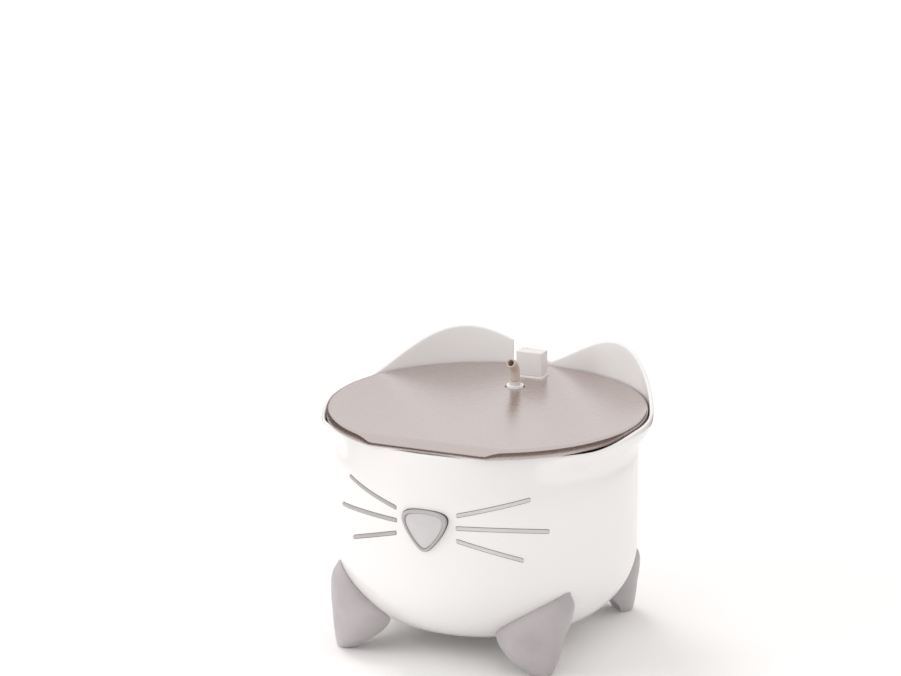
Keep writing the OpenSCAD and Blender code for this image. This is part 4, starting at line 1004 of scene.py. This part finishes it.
# %% The steel top
FRONT_LIP, UNDER_LIP = STEEL_FACE - STEEL_EDGE - 2.4, STEEL_FACE - STEEL_EDGE - 2
FRONT_SHARES = [(0, 1), (0.25, 0.91), (0.9, 0.77), (2, 0.58), (3.2, 0.38), (4.6, 0.2), (6.2, 0.08), (7.6, 0.02),
                (9, 0)]
FRONT_DROP = [(distance, share * FRONT_LIP) for distance, share in FRONT_SHARES]
ROUND_DROP = [(0, 2), (0.08, 1.7), (0.25, 1.35), (0.5, 0.95), (0.8, 0.62), (1.2, 0.36), (1.65, 0.17), (2.1, 0.05),
              (2.6, 0)]
FRONT_UNDER, ROUND_UNDER = [(0.8, UNDER_LIP), (5, 1.3), (9, 0.8)], [(0.8, 2.4), (1.3, 1.4), (3, 0.8)]
UNDER_INSETS = (12.5, 12, 10, 9, 8, 7, 6, 5, 4, 3.5, 3, 2.6, 2.3, 2, 1.7, 1.5, 1.3, 1.1, 0.95, 0.8)
EDGE_ROUND = [(0.8, 0.25), (0.73, 0.07), (0.55, 0), (0.25, 0), (0.07, 0.07), (0, 0.25)]
UNDER_GAP = 0.1
TOP_INSETS = [d for d, _ in ROUND_DROP] + [3.4, 4.4, 5.6, 7, 8.4, 9.6, 12, 12.5]


def along(line, distance):
    """The drop on a line of (distance, drop) points at that distance."""
    for (d0, drop0), (d1, drop1) in zip(line, line[1:]):
        if distance <= d1:
            return drop0 + (drop1 - drop0) * max(0, distance - d0) / (d1 - d0)
    return line[-1][1]


def steel_ring(inset, height):
    """The outline drawn in by an inset, at the height that a function of both distances gives."""
    ring = []
    for x, y, nx, ny in outline:
        x, y = x - nx * inset, y - ny * inset
        ring.append(place(x, y, height(STEEL_FRONT + y, STEEL_R - math.hypot(x, y))))
    return ring


def upper(front, edge):
    """The height of the sheet's upper side at those distances from the straight edge and the round one."""
    return STEEL_FACE - (along(FRONT_DROP, front) ** 3 + along(ROUND_DROP, edge) ** 3) ** (1 / 3)


def under(front, edge):
    """The height of the sheet's underside at the same two distances."""
    return STEEL_FACE + UNDER_GAP - max(along(FRONT_UNDER, front), along(ROUND_UNDER, edge))


steel_rings = [steel_ring(inset, under) for inset in UNDER_INSETS]
steel_rings += [steel_ring(inset, lambda front, edge, rise=rise: STEEL_EDGE + rise) for inset, rise in EDGE_ROUND]
steel_rings += [steel_ring(inset, upper) for inset in TOP_INSETS]
steel_top = loft("steel_top_skin", steel_rings, crisp=50)

# %% [markdown]
# The hole for the spout and the slot for the tower are cut straight through.

# %% Hole and slot in the steel
SPOUT_HOLE_R, SLOT_GAP, SLOT_CORNER, HOLE_SIDES, CUT_HALF = 6.75, 0.8, 0.6, 96, 3
spout_low, spout_high = (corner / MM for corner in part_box("spout_collar"))
hole_y = (spout_low.y + spout_high.y) / 2 - AXIS_Y
hole_rings = [[place(SPOUT_HOLE_R * math.cos(a), hole_y + SPOUT_HOLE_R * math.sin(a), z)
               for a in (2 * math.pi * k / HOLE_SIDES for k in range(HOLE_SIDES))]
              for z in (STEEL_FACE - CUT_HALF, STEEL_FACE + CUT_HALF)]
combine(steel_top, loft("hole", hole_rings), "DIFFERENCE")
slot_low, slot_high = (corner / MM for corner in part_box("tower_window"))
combine(steel_top, block("slot", (slot_low.x - SLOT_GAP, slot_low.y - AXIS_Y - SLOT_GAP, STEEL_FACE - CUT_HALF),
                         (slot_high.x + SLOT_GAP, slot_high.y - AXIS_Y + SLOT_GAP, STEEL_FACE + CUT_HALF),
                         SLOT_CORNER, only_upright=True), "DIFFERENCE")
smooth_by_angle(steel_top.data, 50)
dress(steel_top, "steel", brushed_steel, ["steel_top"])
print("steel top:", len(steel_top.data.polygons), "faces")

# %% [markdown]
# The spout is a soft taupe tube that is bent towards the drinking side and turns in its collar. It is swept
# along a plug, a quarter of a bend and a short straight end, out along the outside and back along the bore.

# %% Collar and spout
RISER_Y = 47
SPOUT_R, SPOUT_BORE_R, SPOUT_PLUG, BEND_FROM, BEND_R, BEND_A, SPOUT_END = 3.3, 2.1, 3.8, 4, 10, 60, 3
SPOUT_PLUG_R, MOUTH_ROUND = SPOUT_R - 0.5, 0.4
SPOUT_SIDES, BEND_STEPS, MOUTH_STEPS = 48, 28, 8
ELBOW_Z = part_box("spout_elbow")[0].z / MM + SPOUT_PLUG


def spout_ring(forward, up, lean, radius):
    """A ring of the spout about a point in front of and above the collar, leaning forward by that angle."""
    ring = []
    for k in range(SPOUT_SIDES):
        a = 2 * math.pi * k / SPOUT_SIDES
        x, along = radius * math.cos(a), radius * math.sin(a)
        ring.append(place(x, RISER_Y - forward + along * math.cos(lean), ELBOW_Z + up + along * math.sin(lean)))
    return ring


def spout_axis():
    """Points and leans along the spout, from the collar to where the round of its mouth begins."""
    stations = [(0, 0, 0)]
    for step in range(BEND_STEPS + 1):
        q = math.radians(BEND_A) * step / BEND_STEPS
        stations.append((BEND_R * (1 - math.cos(q)), BEND_FROM + BEND_R * math.sin(q), q))
    forward, up, lean = stations[-1]
    end = SPOUT_END - MOUTH_ROUND
    stations.append((forward + end * math.sin(lean), up + end * math.cos(lean), lean))
    return stations


spout_rings = [spout_ring(0, -SPOUT_PLUG, 0, SPOUT_PLUG_R), spout_ring(0, -0.02, 0, SPOUT_PLUG_R),
               spout_ring(0, 0, 0, SPOUT_R - 0.3)]
axis = spout_axis()
spout_rings += [spout_ring(f, u + (0.25 if i == 0 else 0), lean, SPOUT_R) for i, (f, u, lean) in enumerate(axis)]
mouth_f, mouth_u, mouth_lean = axis[-1]
SPOUT_LIP = (SPOUT_R - SPOUT_BORE_R) / 2
for step in range(1, MOUTH_STEPS):
    turn = math.pi * step / MOUTH_STEPS
    out = MOUTH_ROUND * math.sin(turn)
    spout_rings.append(spout_ring(mouth_f + out * math.sin(mouth_lean), mouth_u + out * math.cos(mouth_lean),
                                  mouth_lean, SPOUT_BORE_R + SPOUT_LIP + SPOUT_LIP * math.cos(turn)))
spout_rings += [spout_ring(f, u, lean, SPOUT_BORE_R) for f, u, lean in reversed(axis)]
spout_rings.append(spout_ring(0, -SPOUT_PLUG, 0, SPOUT_BORE_R))
dress(loft("spout", spout_rings, loop=True, crisp=40), "elbow", spout_taupe, ["spout_elbow"])
reskin("spout_collar", 0.35, "collar", collar_grey, "spout_taupe")

# %% [markdown]
# ## Tube, tray and pump
# Water rises from the pump through a clear silicone tube. The tray above the pump is frosted plastic, and the
# pump is a small matt box with a nozzle, a flow knob, a lamp, a level sensor and four suction cups.

# %% Tube and tray
reskin("riser_tube", 0.4, "riser", silicone, "silicone")
reskin("filter_tray", 0.4, "tray", tray_frost, "tray_clear")

# %% [markdown]
# The pump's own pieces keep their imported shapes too, each with its edges rounded a little.

# %% Pump housing and what shows on it
PUMP_PIECES = [("pump_housing", 0.6, "pump", pump_grey, "pump_grey"),
               ("pump_base", 0.4, "pump", cover_grey, "cover_grey"),
               ("pump_cover", 0.4, "cover", cover_grey, "cover_grey"),
               ("flow_knob", 0.35, "knob", knob_grey, "knob_grey"),
               ("led_lens", 0.1, "pump", lamp_red, "led_red"),
               ("level_sensor", 0.15, "pump", sensor_smoke, "sensor_grey"),
               ("cord_gland", 0.3, "pump", gland_rubber, "gland_rubber"),
               ("suction_cups", 0.3, "pump", cup_rubber, "cup_rubber")]
for settings in PUMP_PIECES:
    reskin(*settings)

# %% [markdown]
# What works inside the pump stays as the frame has it, and only gets its material.

# %% Inner pieces of the pump
INNER_FINISHES = {"impeller": impeller_white, "rotor_magnet": ferrite, "rotor_shaft": ground_steel,
                  "shaft_bushes": ceramic, "stator_core": stacked_iron, "stator_coil": copper_wire,
                  "carbon_granules": carbon_black, "resin_granules": resin_amber}
for node, material in INNER_FINISHES.items():
    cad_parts[node].data.materials.clear()
    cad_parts[node].data.materials.append(material)
print(len(INNER_FINISHES), "inner pieces finished")

# %% [markdown]
# ## The filter
# The filter is a pad of fleece with four pockets, two filled with carbon and two with softening resin. Thin
# fleece lets its filling show as soft spots, and its surface is a tangle of fibres. One group draws both, so
# that the grey and the peach fleece differ only in their colours.

# %% Group: fleece over grains
fleece, f_in, f_out = new_group(
    "fleece_over_grains",
    [("Cloth", "Color", (0.9, 0.85, 0.8, 1)), ("Grains", "Color", (0.2, 0.2, 0.2, 1)), ("Show", "Float", 0.4)],
    [("Color", "Color"), ("Height", "Float")],
)
where = add(fleece, "TexCoord").outputs["Object"]
fibres = add(fleece, "TexNoise", [("Vector", where), ("Scale", 1400.0), ("Detail", 4.0), ("Roughness", 0.7)])
grains = add(fleece, "TexVoronoi", [("Vector", where), ("Scale", 620.0), ("Randomness", 1.0)])
grain_spot = add(fleece, "MapRange",
                 [("Value", grains.outputs["Distance"]), ("From Min", 0.5), ("From Max", 0.15)])
patches = add(fleece, "TexNoise", [("Vector", where), ("Scale", 120.0), ("Detail", 3.0)])
uneven = add(fleece, "MapRange", [("Value", patches.outputs["Fac"]), ("From Min", 0.3), ("From Max", 0.7)])
spots = add(fleece, "Math", [(0, grain_spot.outputs["Result"]), (1, uneven.outputs["Result"])],
            operation="MULTIPLY")
shown = add(fleece, "Math", [(0, spots.outputs[0]), (1, f_in.outputs["Show"])], operation="MULTIPLY")
cloth_mix = add(fleece, "Mix", [(0, shown.outputs[0]), (6, f_in.outputs["Cloth"]), (7, f_in.outputs["Grains"])],
                data_type="RGBA")
fill(fleece, f_out, [("Color", cloth_mix.outputs[2]), ("Height", fibres.outputs["Fac"])])
print("group", fleece.name, "has", len(fleece.nodes), "nodes")

# %% [markdown]
# The top sheet is one piece of cloth that is grey on one half and peach on the other. Its material mixes two
# cloths by the side of the pad that a point lies on.

# %% Fleece materials
CLOTH_SEAM, FIBRE_DEPTH = 0.002, 0.0003  # metres


def fleece_material(name, cloths, grains_colour, show):
    """A fleece of one cloth colour, or of two that meet in the middle of the pad."""
    material, tree, shader = new_material(name)
    cloth = add(tree, "Group", [("Grains", grains_colour), ("Show", show)], node_tree=fleece)
    if len(cloths) == 1:
        fill(tree, cloth, [("Cloth", cloths[0])])
    else:
        spot = add(tree, "TexCoord")
        split = add(tree, "SeparateXYZ", [(0, spot.outputs["Object"])])
        side = add(tree, "MapRange",
                   [("Value", split.outputs["X"]), ("From Min", -CLOTH_SEAM), ("From Max", CLOTH_SEAM)])
        two = add(tree, "Mix", [(0, side.outputs["Result"]), (6, cloths[0]), (7, cloths[1])], data_type="RGBA")
        fill(tree, cloth, [("Cloth", two.outputs[2])])
    relief = add(tree, "Bump", [("Height", cloth.outputs["Height"]), ("Strength", 0.6), ("Distance", FIBRE_DEPTH)])
    fill(tree, shader, [("Base Color", cloth.outputs["Color"]), ("Normal", relief.outputs["Normal"]),
                        ("Roughness", 0.9), ("Sheen Weight", 0.3)])
    return material


GREY_CLOTH, PEACH_CLOTH = srgb(218, 209, 200), srgb(244, 226, 210)
sheet_cloth = fleece_material("sheet_cloth", [GREY_CLOTH, PEACH_CLOTH], srgb(150, 140, 132), 0.35)
carbon_cloth = fleece_material("carbon_cloth", [srgb(178, 170, 164)], srgb(70, 66, 64), 0.75)
resin_cloth = fleece_material("resin_cloth", [srgb(236, 204, 182)], srgb(196, 128, 84), 0.6)
reskin("filter_sheet", 0.2, "filter", sheet_cloth, "filter_fleece")
reskin("carbon_pockets", 0.8, "filter", carbon_cloth, "carbon_fleece")
reskin("resin_pockets", 0.8, "filter", resin_cloth, "resin_fleece")

# %% [markdown]
# ## Floor and light
# The fountain stands on a white table in a white room. The floor is a large thin slab that stays a little
# below white for the light it throws back at the fountain, and is plain white for the camera, so that only
# the fountain's own shadow shows on it.

# %% Floor
FLOOR_HALF, FLOOR_T_MM = 4000, 2
floor = block("floor", (-FLOOR_HALF, -FLOOR_HALF, -FLOOR_T_MM), (FLOOR_HALF, FLOOR_HALF, 0), 0.5, 1)
floor_white, floor_tree, floor_shader = new_material("floor_white")
floor_rays = add(floor_tree, "LightPath")
floor_mix = add(floor_tree, "Mix", [(0, floor_rays.outputs["Is Camera Ray"]), (6, (0.92, 0.915, 0.91, 1)),
                                    (7, (1, 0.995, 0.99, 1))], data_type="RGBA")
fill(floor_tree, floor_shader,
     [("Base Color", floor_mix.outputs[2]), ("Roughness", 0.95), ("Specular IOR Level", 0.1)])
floor.data.materials.append(floor_white)

# %% [markdown]
# Polished steel is only as interesting as what it mirrors. In a room that is white all round, its rim would
# vanish, so two dark rings stand round the table, a low one near it and a higher one farther out. Both stay
# low enough for the flat face of the steel to mirror the white room above them. Only mirrors see them: the
# camera, the matt light and the shadows pass them by.

# %% Two dark rings that only mirrors see
RINGS = [("low_ring", 450, 130), ("far_ring", 800, 280)]
ring_dark = finish("ring_dark", (122, 108, 100), (104, 92, 86), 0.9)
for ring_name, ring_r, ring_top in RINGS:
    ring_levels = [[at_angle(a, ring_r, z) for a in range(0, 360, 4)] for z in (2, ring_top)]
    dark_ring = loft(ring_name, ring_levels, start=False, end=False)
    dark_ring.data.materials.append(ring_dark)
    for ray in ("camera", "diffuse", "transmission", "shadow"):
        setattr(dark_ring, "visible_" + ray, False)
print(len(RINGS), "rings for the steel to mirror")

# %% [markdown]
# The room itself lights the scene. The camera, mirrors and clear plastics see it plain white, while matt
# surfaces get a little less of it and in a warmer tone, so that the lamps can still model the round forms
# and the shadow turns warm. Neither lamp shows in a mirror, so the steel carries no glare.

# %% World
ROOM_LIGHT, ROOM_TONE = 0.86, (1, 0.975, 0.965, 1)
world = bpy.data.worlds.new("room")
bpy.context.scene.world = world
world.use_nodes = True
sky = world.node_tree
background = sky.nodes["Background"]
rays = add(sky, "LightPath")
seen = add(sky, "Math", [(0, rays.outputs["Is Camera Ray"]), (1, rays.outputs["Is Glossy Ray"])],
           operation="MAXIMUM")
clear = add(sky, "Math", [(0, seen.outputs[0]), (1, rays.outputs["Is Transmission Ray"])],
            operation="MAXIMUM")
strength = add(sky, "MapRange", [("Value", clear.outputs[0]), ("To Min", ROOM_LIGHT), ("To Max", 1.0)])
sky_tone = add(sky, "Mix", [(0, clear.outputs[0]), (6, ROOM_TONE), (7, (1, 1, 1, 1))], data_type="RGBA")
fill(sky, background, [("Strength", strength.outputs["Result"]), ("Color", sky_tone.outputs[2])])
bpy.context.scene.view_settings.view_transform = "Standard"


def lamp(name, kind, energy, location, target, **settings):
    """A lamp in millimetres from the pot's axis that looks at a target."""
    data = bpy.data.lights.new(name, kind)
    data.energy = energy
    for key, value in settings.items():
        setattr(data, key, value)
    made = bpy.data.objects.new(name, data)
    collection.objects.link(made)
    made.location = place(*location)
    direction = place(*target) - place(*location)
    made.rotation_mode = "QUATERNION"
    made.rotation_quaternion = direction.to_track_quat("-Z", "Y")
    return made


SUN_STRENGTH, SUN_SPREAD, BOX_WATTS = 0.75, math.radians(24), 3.6
key = lamp("key", "SUN", SUN_STRENGTH, (-900, 700, 1500), (0, 0, 60), angle=SUN_SPREAD)
softbox = lamp("softbox", "AREA", BOX_WATTS, (-1000, -800, 420), (0, 0, 110),
               shape="RECTANGLE", size=0.5, size_y=1.2)
for light in (key, softbox):
    light.visible_glossy = False
print("lamps:", key.name, softbox.name)
